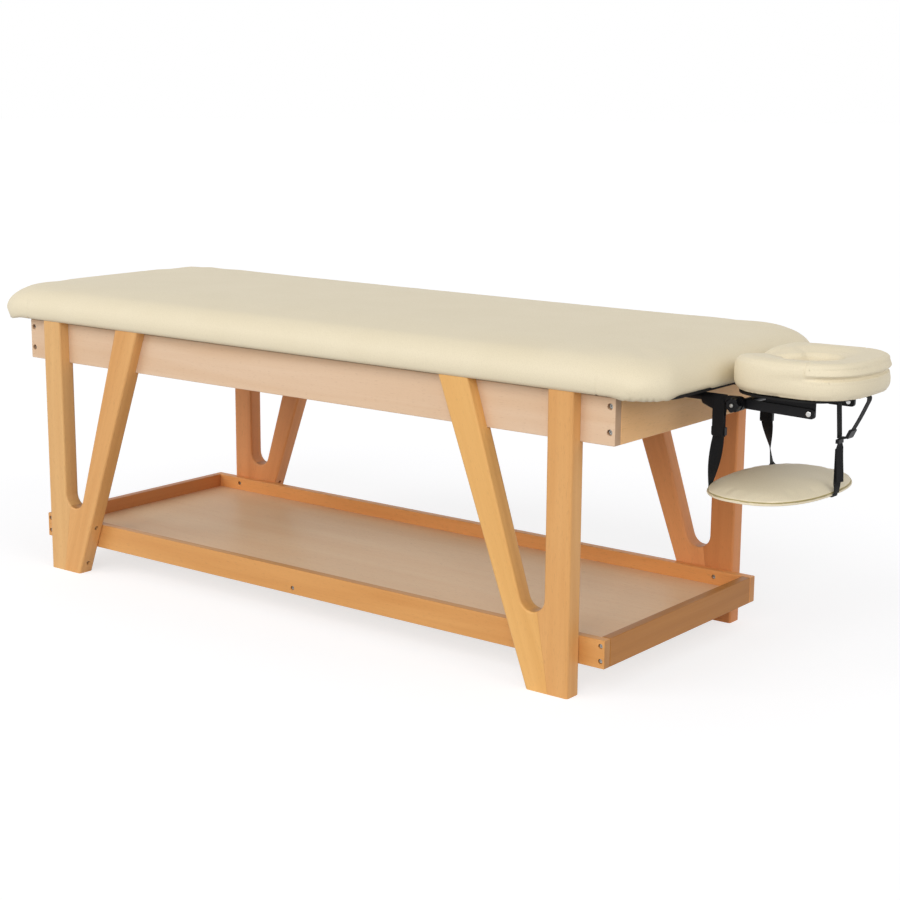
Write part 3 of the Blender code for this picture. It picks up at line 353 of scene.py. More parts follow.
# %% Grained finishes
def grained(name, light, dark, grain, rough, lift, **shine):
    """A plain hard finish with a fine grain of the given size, in roughness, tone and bump."""
    look, tree = new_material(name)
    place = node(tree, "TexCoord", {})["Object"]
    fine = node(tree, "VectorMath", {0: place, 1: grain}, operation="DIVIDE")[0]
    fine = node(tree, "TexNoise", {"Vector": fine, "Scale": 1.0, "Detail": 2.0})["Fac"]
    colour = node(tree, "Mix", {0: fine, 6: linear(light), 7: linear(dark)}, data_type="RGBA")[2]
    rough = node(tree, "MapRange", {"Value": fine, "To Min": rough[0], "To Max": rough[1]})[0]
    bump = node(tree, "Bump", {"Height": fine, "Strength": 0.25, "Distance": lift})[0]
    inputs = {"Base Color": colour, "Roughness": rough, "Normal": bump}
    inputs.update({key.replace("_", " "): value for key, value in shine.items()})
    node(tree, "OutputMaterial", {"Surface": node(tree, "BsdfPrincipled", inputs)[0]})
    return look


# Powder coat: plastic melted on steel, satin black with a faint orange peel
POWDER_COAT = grained("black_powder_coat", "#17171a", "#0d0d0f", (0.0012,) * 3, (0.38, 0.52),
                      0.00008, Specular_IOR_Level=0.2)
# Nickel plate: bright and smooth, with hair-fine marks, drawn wider so that they show
NICKEL = grained("nickel_plated_steel", "#d7d6d3", "#b9b8b6", (0.020, 0.0012, 0.0012), (0.14, 0.26),
                 0.00003, Metallic=1.0)
# Zinc plate: greyer and duller than nickel
ZINC = grained("zinc_plated_screws", "#b9b8b4", "#94938f", (0.002,) * 3, (0.26, 0.40), 0.00004,
               Metallic=1.0)
# Blackened steel: a dark oiled skin with faint marks along the tube from its drawing
BLACKENED = grained("blackened_steel_tube", "#1f2022", "#131315", (0.002, 0.012, 0.002),
                    (0.26, 0.36), 0.00003, Metallic=1.0)
# Moulded nylon: black with the fine grain of its mould, drawn coarser so that it shows
NYLON = grained("moulded_black_nylon", "#171719", "#0e0e10", (0.0009,) * 3, (0.34, 0.48), 0.00006,
                Specular_IOR_Level=0.2)
# Phenolic: a hard knob resin, polished to a sharper shine
PHENOLIC = grained("polished_black_phenolic", "#161618", "#0c0c0d", (0.004,) * 3, (0.20, 0.28),
                   0.00002, Specular_IOR_Level=0.18)
# Painted plywood: matt black that lets the fibres through, drawn wider so that they show
PAINTED_PLY = grained("black_painted_plywood", "#171615", "#0d0c0c", (0.030, 0.0018, 0.0018),
                      (0.55, 0.72), 0.0001, Specular_IOR_Level=0.2)
# Hook tape: a pile of stiff hooks that swallows the light
HOOK_TAPE = grained("hook_tape", "#2a2a2d", "#0c0c0d", (0.0016,) * 3, (0.75, 0.95), 0.0008)
# Olive cord: the cover's own grain in olive, darker than the cover, as painted shade in the crease
# above the welt
CREASE_SHADE_CORD = grained("olive_crease_shade_cord", "#b0a169", "#9b8c57", (0.0016,) * 3, (0.45, 0.60), 0.0002)
print("nine grained finishes")

# %% [markdown]
# ## Webbing
# The straps are woven black polyester. Seen close, a strap is rows of small humps where one yarn
# passes over another. The straps twist, so the weave has to follow them: each strap carries a UV
# map in metres, along and across, and two sine waves multiplied make the humps. The humps are
# painted lighter and the hollows between them darker, as painted highlight and painted shade.

# %% Woven polyester
YARN = 0.0018      # drawn a little coarser than the real 1.2 mm, so that it shows
YARN_SHADED, YARN_LIT = "#09090a", "#1b1b1d"
look, tree = new_material("woven_black_polyester")
run = node(tree, "SeparateXYZ", {0: node(tree, "UVMap", {}, uv_map="weave")[0]})
waves = []
for way, pitch in ((run["X"], YARN), (run["Y"], YARN * 0.8)):
    turn = node(tree, "Math", {0: way, 1: 2 * math.pi / pitch}, operation="MULTIPLY")[0]
    waves.append(node(tree, "Math", {0: turn}, operation="SINE")[0])
hump = node(tree, "Math", {0: waves[0], 1: waves[1]}, operation="MULTIPLY")[0]
hump = node(tree, "MapRange", {"Value": hump, "From Min": -1.0})[0]
# Painted highlight and shade: the yarn is lighter on the humps and darker in the hollows
colour = node(tree, "Mix", {0: hump, 6: linear(YARN_SHADED), 7: linear(YARN_LIT)},
              data_type="RGBA")[2]
bump = node(tree, "Bump", {"Height": hump, "Strength": 0.5, "Distance": 0.0004})[0]
shader = node(tree, "BsdfPrincipled", {"Base Color": colour, "Roughness": 0.75,
                                       "Specular IOR Level": 0.15, "Sheen Weight": 0.06,
                                       "Sheen Roughness": 0.5, "Normal": bump})[0]
node(tree, "OutputMaterial", {"Surface": shader})
POLYESTER = look
print("webbing with yarns of", 1000 * YARN, "mm")

# %% [markdown]
# ## Dressing a rigid piece
# Boards, brackets and rods already have the right shape in CAD, but their meshes are loose
# triangles with flat shading. A dressed copy has its doubles merged and its flat areas dissolved,
# is shaded smooth with weighted normals, so that wide faces stay flat and small roundings shine,
# and then takes the place of the CAD solid on the same body.

# %% From a solid to a mesh
MERGE = 0.00002                            # points nearer than this are one
FLAT = math.radians(0.5)                   # faces that meet at less than this are one


def add_piece(name, shape, look):
    """A finished bmesh as an object at the origin."""
    mesh = bpy.data.meshes.new(name)
    shape.to_mesh(mesh)
    shape.free()
    mesh.materials.append(look)
    piece = bpy.data.objects.new(name, mesh)
    scene.collection.objects.link(piece)
    return piece


def bake(piece):
    """Applies a piece's modifiers to its mesh."""
    ready = piece.evaluated_get(bpy.context.evaluated_depsgraph_get())
    mesh = bpy.data.meshes.new_from_object(ready)
    piece.modifiers.clear()
    piece.data = mesh


def cad_shape(cad_node):
    """A copy of a CAD solid's mesh with its doubles merged."""
    shape = bmesh.new()
    shape.from_mesh(frame["nodes"][cad_node].data)
    bmesh.ops.remove_doubles(shape, verts=shape.verts, dist=MERGE)
    return shape


def flat_shape(cad_node):
    """The same copy with the triangles of each flat area made one face."""
    shape = cad_shape(cad_node)
    bmesh.ops.dissolve_limit(shape, angle_limit=FLAT, verts=shape.verts, edges=shape.edges)
    return shape


def rounded(shape, edges, radius):
    """Rounds edges off in two steps."""
    bmesh.ops.bevel(shape, geom=edges, offset=radius, segments=2, profile=0.5, affect="EDGES",
                    material=-1)


print("points merge within", 1000 * MERGE, "mm")

# %% Shading a piece and standing it in for a solid
SHARP, SMALL_SHARP = 50.0, 40.0            # edges that turn by more degrees stay sharp


def smooth(piece, sharp=SHARP):
    """Smooth shading that keeps sharp edges and lets wide faces stay flat."""
    spare = piece.data.attributes.get("custom_normal")
    if spare:
        piece.data.attributes.remove(spare)
    piece.data.shade_smooth()
    piece.data.set_sharp_from_angle(angle=math.radians(sharp))
    piece.modifiers.new("flat faces", "WEIGHTED_NORMAL").keep_sharp = True


def stand_for(piece, slot, *cad_nodes):
    """Puts a piece in place of CAD solids, on their body."""
    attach(piece, frame["nodes"][cad_nodes[0]]["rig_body"])
    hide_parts(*cad_nodes)
    return piece


def dressed(cad_node, look, slot, cutter=None):
    """A smooth copy of a rigid CAD solid, with holes cut where a cutter is given."""
    piece = add_piece(cad_node + "_dressed", flat_shape(cad_node), look)
    if cutter:
        step = piece.modifiers.new("holes", "BOOLEAN")
        step.object = cutter
        step.solver = "EXACT"
        bake(piece)
    smooth(piece)
    return stand_for(piece, slot, cad_node)


print("dressing helpers ready")

# %% [markdown]
# ## Screws and their holes
# Steel socket screws hold the frame together, each sunk in a counterbore. A counterbore is a real
# hole, so it is cut out of the board by a Boolean, and the screw head lies at its bottom. A head
# is one short cylinder: its rim is bevelled, and its top is inset and pushed down for the key.

# %% Screw places
SIDES, ENDS = (("near", -1), ("far", 1)), (("head", 1), ("foot", -1))
BORE, BORE_DEPTH = 0.0064, 0.0095
SMALL_BORE, SMALL_DEPTH = 0.0052, 0.0072
# Distances from the table's middle, and heights above the floor
MIDDLE_X = sum(v.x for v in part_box("apron_near")) / 2
APRON_SCREW_X, APRON_SCREW_Z = 0.833, (0.538, 0.588)
RAIL_SCREW_X, RAIL_SCREW_Z = 0.8158, (0.078, 0.109)
INNER_SCREW_X, INNER_SCREW_Z = 0.733, 0.1065
BRACE_FOOT_X, BRACE_SCREW_Z = 0.6665, (0.025, 0.118)
BATTEN_SCREW_Z = 0.077
bores = {}


def sink(cad_node, at, out, radius=SMALL_BORE, depth=SMALL_DEPTH):
    """Notes one screw: the board it is in, its place on the surface and the way it faces."""
    bores.setdefault(cad_node, []).append((Vector(at), Vector(out).normalized(), radius, depth))


for side, sy in SIDES:
    apron, rail, outward = "apron_" + side, "shelf_rail_" + side, (0, sy, 0)
    apron_y = max(abs(v.y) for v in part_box(apron)) * sy
    rail_y = max(abs(v.y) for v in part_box(rail)) * sy
    rail_in = min(abs(v.y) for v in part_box(rail)) * sy
    sink(rail, (MIDDLE_X, rail_y, BATTEN_SCREW_Z), outward)
    for end, sx in ENDS:
        for z in APRON_SCREW_Z:
            sink(apron, (MIDDLE_X + sx * APRON_SCREW_X, apron_y, z), outward, BORE, BORE_DEPTH)
        for z in RAIL_SCREW_Z:
            sink(rail, (MIDDLE_X + sx * RAIL_SCREW_X, rail_y, z), outward)
        sink(rail, (MIDDLE_X + sx * INNER_SCREW_X, rail_in, INNER_SCREW_Z), (0, -sy, 0))
        brace = "leg_brace_" + side + "_" + end
        low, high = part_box(brace)
        inner_top = low.x if sx > 0 else high.x
        inner_foot = MIDDLE_X + sx * BRACE_FOOT_X
        inward = (-sx * high.z, 0, inner_top * sx - inner_foot * sx)
        for z in BRACE_SCREW_Z:
            x = inner_foot + (inner_top - inner_foot) * z / high.z
            sink(brace, (x, (low.y + high.y) / 2, z), inward, SMALL_BORE, BORE_DEPTH)
print(sum(len(holes) for holes in bores.values()), "screws in", len(bores), "boards")

# %% Screw heads and cutters
HEAD_HEIGHT, HEAD_SHARE = 0.004, 0.86      # the share is of the bore's radius
HEAD_OVER = 0.0002                         # between the head and the bottom of its bore
RIM_SHARE, DISH_SHARE, KEY_SHARE = 0.2, 0.32, 0.05
DISH_DEPTH, KEY_DEPTH = 0.0004, HEAD_HEIGHT * 0.5
SCREW_SIDES = 24


def aimed(at, out):
    """A matrix that turns +Z to the way out and moves the origin to the place."""
    return Matrix.Translation(at) @ out.to_track_quat("Z", "Y").to_matrix().to_4x4()


def screw_head(radius):
    """A short cylinder with a bevelled rim and a hollow for the key, its middle at the origin."""
    head = bmesh.new()
    bmesh.ops.create_cone(head, cap_ends=True, segments=SCREW_SIDES, radius1=radius,
                          radius2=radius, depth=HEAD_HEIGHT)
    top = max(head.faces, key=lambda f: f.calc_center_median().z)
    rounded(head, top.edges[:], radius * RIM_SHARE)
    top = max(head.faces, key=lambda f: f.calc_center_median().z)
    for share_in, down in ((DISH_SHARE, DISH_DEPTH), (KEY_SHARE, KEY_DEPTH)):
        bmesh.ops.inset_region(head, faces=[top], thickness=radius * share_in)
        bmesh.ops.translate(head, verts=top.verts, vec=(0, 0, -down))
    return head


cutters = {}
heads = bmesh.new()
for cad_node, holes in bores.items():
    cut = bmesh.new()
    for at, out, radius, depth in holes:
        bmesh.ops.create_cone(cut, cap_ends=True, segments=SCREW_SIDES, radius1=radius,
                              radius2=radius, depth=2 * depth, matrix=aimed(at, out))
        head = screw_head(radius * HEAD_SHARE)
        bottom = at - out * (depth - HEAD_HEIGHT / 2 - HEAD_OVER)
        bmesh.ops.transform(head, matrix=aimed(bottom, out), verts=head.verts)
        loose = bpy.data.meshes.new("screw_head")
        head.to_mesh(loose)
        head.free()
        heads.from_mesh(loose)
        bpy.data.meshes.remove(loose)
    cutters[cad_node] = add_piece(cad_node + "_holes", cut, NICKEL)
screws = add_piece("frame_screws", heads, ZINC)
smooth(screws, SMALL_SHARP)
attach(screws, "table")
print("screw heads of", len(screws.data.polygons), "faces")

# %% [markdown]
# ## The wooden frame
# Eighteen boards share one recipe. The grain runs along each board: lengthwise in aprons and
# rails, upright in posts, and down the slope in braces, whose angle comes from height and lean.
# Each board starts its pattern somewhere else, a prime number of centimetres further on.

# %% Boards and their grain
BRACE_RUN = 0.215                          # how far a brace leans, from foot to top
boards = []
for side, _ in SIDES:
    boards.append(("apron_" + side, ALONG["x"], "pale_beech"))
    boards.append(("shelf_rail_" + side, ALONG["x"], "beech"))
    for end, sx in ENDS:
        boards.append(("leg_post_" + side + "_" + end, ALONG["z"], "beech"))
        low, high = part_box("leg_brace_" + side + "_" + end)
        slope = math.atan2(-high.z, sx * BRACE_RUN)
        boards.append(("leg_brace_" + side + "_" + end, (0, -slope, 0), "beech"))
for end, _ in ENDS:
    boards.append(("apron_" + end, ALONG["y"], "pale_beech"))
    boards.append(("shelf_rail_" + end, ALONG["y"], "beech"))
boards.append(("shelf_panel", ALONG["x"], "plywood"))
boards.append(("shelf_batten", ALONG["y"], "beech"))
print(len(boards), "boards to dress")

# %% Boards in their tones
TONES = {"beech": HONEY, "pale_beech": PALE, "plywood": VENEER}
# Painted light: the tones of the head apron, the far, head and foot rails and the far legs are
# fitted to the shade they stand in
OWN_TONES_AND_PAINTED_LIGHT = {"apron_head": AMBER, "shelf_rail_head": TOFFEE, "shelf_rail_foot": CHESTNUT,
             "shelf_rail_far": APRICOT, "shelf_rail_near": WHEAT, "leg_post_near_foot": STRAW,
             "leg_brace_near_head": GOLD, "leg_post_far_head": SIENNA,
             "leg_brace_far_head": COPPER, "leg_post_far_foot": RUSSET,
             "leg_brace_far_foot": RUSSET}
# Width of the growth streaks, and shine: rotary-cut veneer has wider figure and a duller lacquer
SOLID_WOOD, PLYWOOD = (0.022, 0.3), (0.060, 0.15)
PATTERN_STEP = (0.37, 0.13, 0.29)
for count, (cad_node, turn, slot) in enumerate(boards):
    tone = OWN_TONES_AND_PAINTED_LIGHT.get(cad_node, TONES[slot])
    start = [step * count for step in PATTERN_STEP]
    figure, shine = PLYWOOD if slot == "plywood" else SOLID_WOOD
    wood = beech("lacquered_beech_" + cad_node, turn, tone, start, figure, shine)
    dressed(cad_node, wood, slot, cutters.get(cad_node))
for cutter in cutters.values():
    bpy.data.objects.remove(cutter, do_unlink=True)
print(len(OWN_TONES_AND_PAINTED_LIGHT), "boards in tones of their own")

# %% [markdown]
# ## Metal, plastic and board
# The face rest's hardware is bent, turned and moulded, and CAD already has those shapes. Modelling
# them again would only lose accuracy, so they keep their solids, dressed in the finishes above.

# %% Hardware
HARDWARE = [
    ("black_board", PAINTED_PLY, ["pad_board", "platform", "armrest_board"]),
    ("black_steel", POWDER_COAT, ["cradle_rod_near", "cradle_rod_far", "knuckle_near",
                                  "knuckle_far", "arm_near", "arm_far", "bracket_near",
                                  "bracket_far", "tie_rod"]),
    ("steel", NICKEL, ["rod_socket_near", "rod_socket_far", "tilt_pin_near", "tilt_pin_far"]),
    ("steel", ZINC, ["clamp_bolt"]),
    ("steel", BLACKENED, ["arm_spacer"]),
    ("black_plastic", NYLON, ["front_buckle"]),
    ("black_plastic", PHENOLIC, ["clamp_knob"]),
    ("webbing", HOOK_TAPE, ["hook_pad_near", "hook_pad_far"]),
]
for slot, look, cad_nodes in HARDWARE:
    for cad_node in cad_nodes:
        dressed(cad_node, look, slot)
print(sum(len(names) for _, _, names in HARDWARE), "pieces of hardware")

# %% [markdown]
# ## Rear buckles
# Each rear strap runs through a moulded slide. The solid is a plain sleeve with thick walls, so its
# outer walls are drawn in, its front and back are inset and sunk to leave two bars, and a bevel
# rounds every edge as a mould does.

# %% Strap slides
SLIMMER = {"near": Vector((0.0015, 0.0010)), "far": Vector((0.0024, 0.0016))}
AT_WALL = 0.001                      # a point of an outer wall is this near to the box
FACING, FROM_MIDDLE = 0.9, 0.003     # how a front or back face is known
BAR_INSET, BAR_SINK = 0.0036, 0.0007
MOULD_ROUND = 0.0004
for side, _ in SIDES:
    low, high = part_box("rear_buckle_" + side)
    middle = (low + high) / 2
    shape = flat_shape("rear_buckle_" + side)
    for v in shape.verts:
        for axis, thinner in enumerate(SLIMMER[side]):
            if min(v.co[axis] - low[axis], high[axis] - v.co[axis]) < AT_WALL:
                v.co[axis] -= math.copysign(thinner, v.co[axis] - middle[axis])
    shape.normal_update()
    faces = [f for f in shape.faces if abs(f.normal.y) > FACING
             and abs(f.calc_center_median().y - middle.y) > FROM_MIDDLE]
    bmesh.ops.inset_individual(shape, faces=faces, thickness=BAR_INSET, depth=-BAR_SINK)
    rounded(shape, shape.edges, MOULD_ROUND)
    slide = add_piece("strap_slide_" + side, shape, NYLON)
    smooth(slide, SMALL_SHARP)
    stand_for(slide, "black_plastic", "rear_buckle_" + side)
print("two strap slides")

# %% [markdown]
# ## Padded pieces
# A pad is foam inside a tight cover. The cover is simulated: a copy of the solid is remeshed into
# even squares, drawn in a little, and blown up by cloth pressure from inside while the face that
# rests on its board is held. A cap on how far a point may move keeps the foam's own shape, and at
# the end the pad is fitted to its solid's box, because a cover is cut to the size of its foam.

# %% Calming and swelling
PRESSURE = 4.0
SWELL_FRAMES = 20
SMOOTHING, SWELLING_BACK = 0.5, -0.52


def calm(shape, passes):
    """Takes ripples out of a mesh: each smoothing pass is followed by one that swells it back."""
    for _ in range(passes):
        for factor in (SMOOTHING, SWELLING_BACK):
            bmesh.ops.smooth_vert(shape, verts=shape.verts, factor=factor, use_axis_x=True,
                                  use_axis_y=True, use_axis_z=True)


def swell(piece, held_points, cap):
    """Blows a cover up by cloth pressure, with no point moving further than the cap."""
    start = [v.co.copy() for v in piece.data.vertices]
    piece.vertex_groups.new(name="held").add(held_points, 1.0, "REPLACE")
    cloth = piece.modifiers.new("cover", "CLOTH").settings
    cloth.use_pressure = True
    cloth.uniform_pressure_force = PRESSURE
    cloth.effector_weights.gravity = 0.0
    cloth.vertex_group_mass = "held"
    for number in range(1, SWELL_FRAMES + 1):
        scene.frame_set(number)
    bake(piece)
    piece.vertex_groups.clear()
    scene.frame_set(1)
    for v, before in zip(piece.data.vertices, start):
        moved = v.co - before
        v.co = before + moved * min(1.0, cap / max(moved.length, 1e-9))


print("cloth pressure", PRESSURE, "for", SWELL_FRAMES, "frames")

# %% A pad from a solid
CALM_BEFORE, CALM_AFTER = 3, 14
FACING_DOWN = -0.8


def lay_down(shape, resting, z):
    """Lays the resting points flat at a height."""
    shape.verts.ensure_lookup_table()
    for i in resting:
        shape.verts[i].co.z = z


def plump(name, cad_node, voxel, draw_in, cap, finer):
    """A padded copy of a solid: remeshed, drawn in, swollen, calmed and fitted to its box."""
    low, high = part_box(cad_node)
    shape = cad_shape(cad_node)
    bmesh.ops.join_triangles(shape, faces=shape.faces, angle_face_threshold=math.radians(30),
                             angle_shape_threshold=math.radians(60))
    piece = add_piece(name, shape, VINYL)
    step = piece.modifiers.new("round the facets", "SUBSURF")
    step.levels = step.render_levels = 2
    step = piece.modifiers.new("even squares", "REMESH")
    step.mode = "VOXEL"
    step.voxel_size = voxel
    bake(piece)
    shape = bmesh.new()
    shape.from_mesh(piece.data)
    shape.normal_update()
    resting = [v.index for v in shape.verts
               if v.co.z < low.z + voxel / 2 and v.normal.z < FACING_DOWN]
    calm(shape, CALM_BEFORE)
    shape.normal_update()
    for v in shape.verts:
        v.co -= v.normal * draw_in
    lay_down(shape, resting, low.z)
    shape.to_mesh(piece.data)
    swell(piece, resting, cap)
    shape.clear()
    shape.from_mesh(piece.data)
    calm(shape, CALM_AFTER)
    lay_down(shape, resting, low.z)
    if finer:
        bmesh.ops.subdivide_edges(shape, edges=shape.edges, cuts=1, use_grid_fill=True, smooth=0.6)
    for axis in range(3):
        least = min(v.co[axis] for v in shape.verts)
        most = max(v.co[axis] for v in shape.verts)
        size = high[axis] - low[axis]
        for v in shape.verts:
            v.co[axis] = low[axis] + (v.co[axis] - least) * size / (most - least)
    return piece, shape


def finish_pad(piece, shape, slot_node):
    """Writes the shaped cover back and puts it in place of its solid."""
    shape.to_mesh(piece.data)
    shape.free()
    piece.data.shade_smooth()
    stand_for(piece, "cream_leather", slot_node)
    return piece


print("pads are calmed", CALM_BEFORE, "and", CALM_AFTER, "times")

# %% [markdown]
# ## Seams and folds
# A seam is a narrow groove, and the even squares of a remeshed cover are too coarse for one. Planes
# cut new lines into the mesh beside the seam, only where it runs, and the points between them are
# then pressed in along their normals by a profile of distances and depths.

# %% Seam helper
CUT_NEAR = 0.00001


def press(shape, at, out, chosen, profile, strength=lambda co: 1.0):
    """Presses a seam or fold along a plane, by a profile of distances from it and depths."""
    for away, _ in profile:
        faces = [f for f in shape.faces if chosen(f.calc_center_median())]
        edges = [e for f in faces for e in f.edges]
        points = [v for f in faces for v in f.verts]
        bmesh.ops.bisect_plane(shape, geom=faces + list(dict.fromkeys(edges + points)),
                               dist=CUT_NEAR, plane_co=at + out * away, plane_no=out)
    shape.normal_update()
    moves = []
    for v in shape.verts:
        away = (v.co - at).dot(out)
        if chosen(v.co) and profile[0][0] < away < profile[-1][0]:
            a, b = [pair for pair in zip(profile, profile[1:]) if pair[0][0] <= away + 1e-9][-1]
            depth = a[1] + (b[1] - a[1]) * (away - a[0]) / (b[0] - a[0])
            moves.append((v, v.normal * -depth * strength(v.co)))
    for v, move in moves:
        v.co += move


print("seam helper ready")

# %% [markdown]
# ## The table pad
# Squares of 9 mm are fine enough for a pad with such wide rolls. Its cover is sewn together near
# each corner, where an upright seam closes the side strip, and at the corners themselves it is
# folded down over the board's edge. A fold that small is made by moving points of the rim.

# %% Table pad
X, Y, Z = Vector((1, 0, 0)), Vector((0, 1, 0)), Vector((0, 0, 1))
SEAM = [(-0.004, 0.0), (0.0, 0.0014), (0.004, 0.0)]
SEAM_FROM_END, SEAM_NEAR, SIDE_STRIP = 0.131, 0.02, 0.012
pad, shape = plump("pad_cover", "table_pad", voxel=0.009, draw_in=0.002, cap=0.004, finer=False)
pad_low, pad_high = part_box("table_pad")
for seam_x in (pad_high.x - SEAM_FROM_END, pad_low.x + SEAM_FROM_END):
    press(shape, X * seam_x, X, lambda c: (abs(c.y) > pad_high.y - SIDE_STRIP
                                           and abs(c.x - seam_x) < SEAM_NEAR), SEAM)
print("pad sewn", 1000 * SEAM_FROM_END, "mm from its ends")

# %% Corners of the table pad
CORNER = 0.10                              # a corner's arc starts this far inside the sides
FOLD_FROM, FOLD_RUN = 0.072, 0.012         # outwards from the middle of the arc
FOLD_BAND, FOLD_DROP = 0.006, 0.005        # height of the rim that moves, and by how much
FOLD_FADE = 0.03                           # along the rim, at both ends of the fold


def share(value, start, run):
    """0 up to the start and 1 after the run, in a straight line between."""
    return min(1.0, max(0.0, (value - start) / run))


pad_middle = (pad_low + pad_high) / 2
for v in shape.verts:
    out_x = abs(v.co.x - pad_middle.x) - (pad_high.x - pad_middle.x - CORNER)
    out_y = abs(v.co.y) - (pad_high.y - CORNER)
    if v.co.z < pad_low.z + FOLD_BAND and out_x > 0 and out_y > 0:
        reach = share(math.hypot(out_x, out_y), FOLD_FROM, FOLD_RUN)
        v.co.z -= FOLD_DROP * reach * share(min(out_x, out_y), 0.0, FOLD_FADE)
finish_pad(pad, shape, "table_pad")
print("pad with", len(pad.data.polygons), "faces")

# %% [markdown]
# ## The face cushion
# The cushion is a horseshoe of firm foam. Swelling and calming sink a narrow ring more than a wide
# pad, so rays sent down on the solid say how high the top should be, and the cover is raised to it.

# %% Face cushion
RAY_ROOM = 0.01
UPWARD = (0.1, 0.5)                        # a normal's upward share, from the side to the top
EVEN_OUT = 6
cushion, shape = plump("face_cushion_cover", "face_cushion", voxel=0.0035, draw_in=0.001,
                       cap=0.003, finer=True)
cushion_low, cushion_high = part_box("face_cushion")
cushion_middle = (cushion_low + cushion_high) / 2


def ramp(value, start, end):
    """0 at the start, 1 at the end, with a soft way between."""
    t = share(value, start, end - start)
    return t * t * (3 - 2 * t)


solid = cad_shape("face_cushion")
tops = BVHTree.FromBMesh(solid)
shape.normal_update()
for v in shape.verts:
    above = Vector((v.co.x, v.co.y, cushion_high.z + RAY_ROOM))
    upper = v.normal.z > UPWARD[0] and v.co.z > cushion_middle.z
    top = tops.ray_cast(above, -Z)[0] if upper else None
    if top:
        v.co.z += (top.z - v.co.z) * ramp(v.normal.z, *UPWARD)
calm(shape, EVEN_OUT)
print("face cushion of", len(shape.verts), "points")

# %% [markdown]
# ## Soft edges of the cushion
# Round the hole the cover makes a wide soft roll, and the two tips roll down towards the slot
# between them. A remeshed cover has no edge left for a bevel to take, so a roll is worked out as a
# quarter of an ellipse, and each point goes down by what the softer roll has more than the solid's.

# %% Edge of the hole
HOLE_REACH = 0.10
SOFT_ROLL, OWN_ROLL = (0.040, 0.025), (0.018, 0.019)     # reach and drop
ROLL_BELOW = 0.006                         # the roll starts this far under half height


def roll(distance, reach, drop):
    """How far down a rounded edge is at a distance from where it ends."""
    inside = max(0.0, 1 - distance / reach)
    return drop * (1 - math.sqrt(max(0.0, 1 - inside * inside)))


outline = [v.co for v in solid.verts
           if v.co.z < cushion_middle.z and (v.co - cushion_middle).to_2d().length < HOLE_REACH]
hole = KDTree(len(outline))
for i, co in enumerate(outline):
    hole.insert((co.x, co.y, 0), i)
hole.balance()
solid.free()
for v in shape.verts:
    away = hole.find((v.co.x, v.co.y, 0))[2]
    softer = max(0.0, roll(away, *SOFT_ROLL) - roll(away, *OWN_ROLL))
    v.co.z -= softer * ramp(v.co.z, cushion_middle.z - ROLL_BELOW, cushion_high.z)
print("hole with", len(outline), "points in its outline")

# %% Tips of the cushion
TIP_X, TIP_Y = (0.905, 0.820), (0.105, 0.020)            # where a tip starts and where it is full
TIP_DROP = 0.012
for v in shape.verts:
    tip = ramp(v.co.x, *TIP_X) * ramp(abs(v.co.y), *TIP_Y)
    v.co.z -= TIP_DROP * tip * ramp(v.co.z, cushion_middle.z, cushion_high.z)
calm(shape, EVEN_OUT)
print("tips lowered by", 1000 * TIP_DROP, "mm")

# %% [markdown]
# ## The cushion's crown
# The crown is a panel of its own: on each side an upright seam ends the plain side, and a deep fold
# runs round the crown a little above half height, where the cover was pulled together. Above the
# fold the cover swells over it, and a second soft fold lies in it. Both start at the seam.

# %% Seams and fold of the crown
CROWN_SEAM_X, CROWN_SEAM_NEAR = 1.003, 0.012
CROWN_SEAM = [(-0.003, 0.0), (0.0, 0.0016), (0.003, 0.0)]
CROWN_SIDE, CROWN_REACH = 0.03, 0.105
FOLD_Z, FOLD_NEAR = 0.650, 0.025
FOLD = [(-0.0095, 0.0), (-0.0052, -0.0008), (-0.0030, -0.0002), (-0.0014, 0.0032),
        (0.0004, 0.0044), (0.0024, 0.0036), (0.0045, 0.0012), (0.0085, -0.0016),
        (0.0130, -0.0006), (0.0190, 0.0010), (0.0230, 0.0)]
SHORT_START, LONG_START = 0.006, 0.05      # from the seam to where the fold is deepest


def on_crown(c):
    """Whether a point is on the crown's outer side."""
    return c.x > CROWN_SEAM_X and (c - cushion_middle).to_2d().length > CROWN_REACH


def fold_strength(co):
    """How much of the fold there is: nearly half at once, the rest slowly."""
    return (0.45 * ramp(co.x, CROWN_SEAM_X, CROWN_SEAM_X + SHORT_START)
            + 0.55 * ramp(co.x, CROWN_SEAM_X, CROWN_SEAM_X + LONG_START))


def at_crown_seam(c):
    """Whether a point is beside a crown's upright seam, on the cushion's outer side."""
    return (c.z > FOLD_Z and abs(c.x - CROWN_SEAM_X) < CROWN_SEAM_NEAR
            and abs(c.y) > cushion_high.y - CROWN_SIDE)


press(shape, Z * FOLD_Z, Z, lambda c: on_crown(c) and abs(c.z - FOLD_Z) < FOLD_NEAR, FOLD,
      fold_strength)
press(shape, X * CROWN_SEAM_X, X, at_crown_seam, CROWN_SEAM)
finish_pad(cushion, shape, "face_cushion")
print("face cushion with", len(cushion.data.polygons), "faces")

# %% [markdown]
# ## The arm rest's pad
# A thin pad on a board, whose cover is pulled round the edge and stapled below. That leaves a
# narrow welt at the rim with a crease above it, and the front strap lifts a soft ridge in the dome.
# Both are small moves of the swollen cover's points.

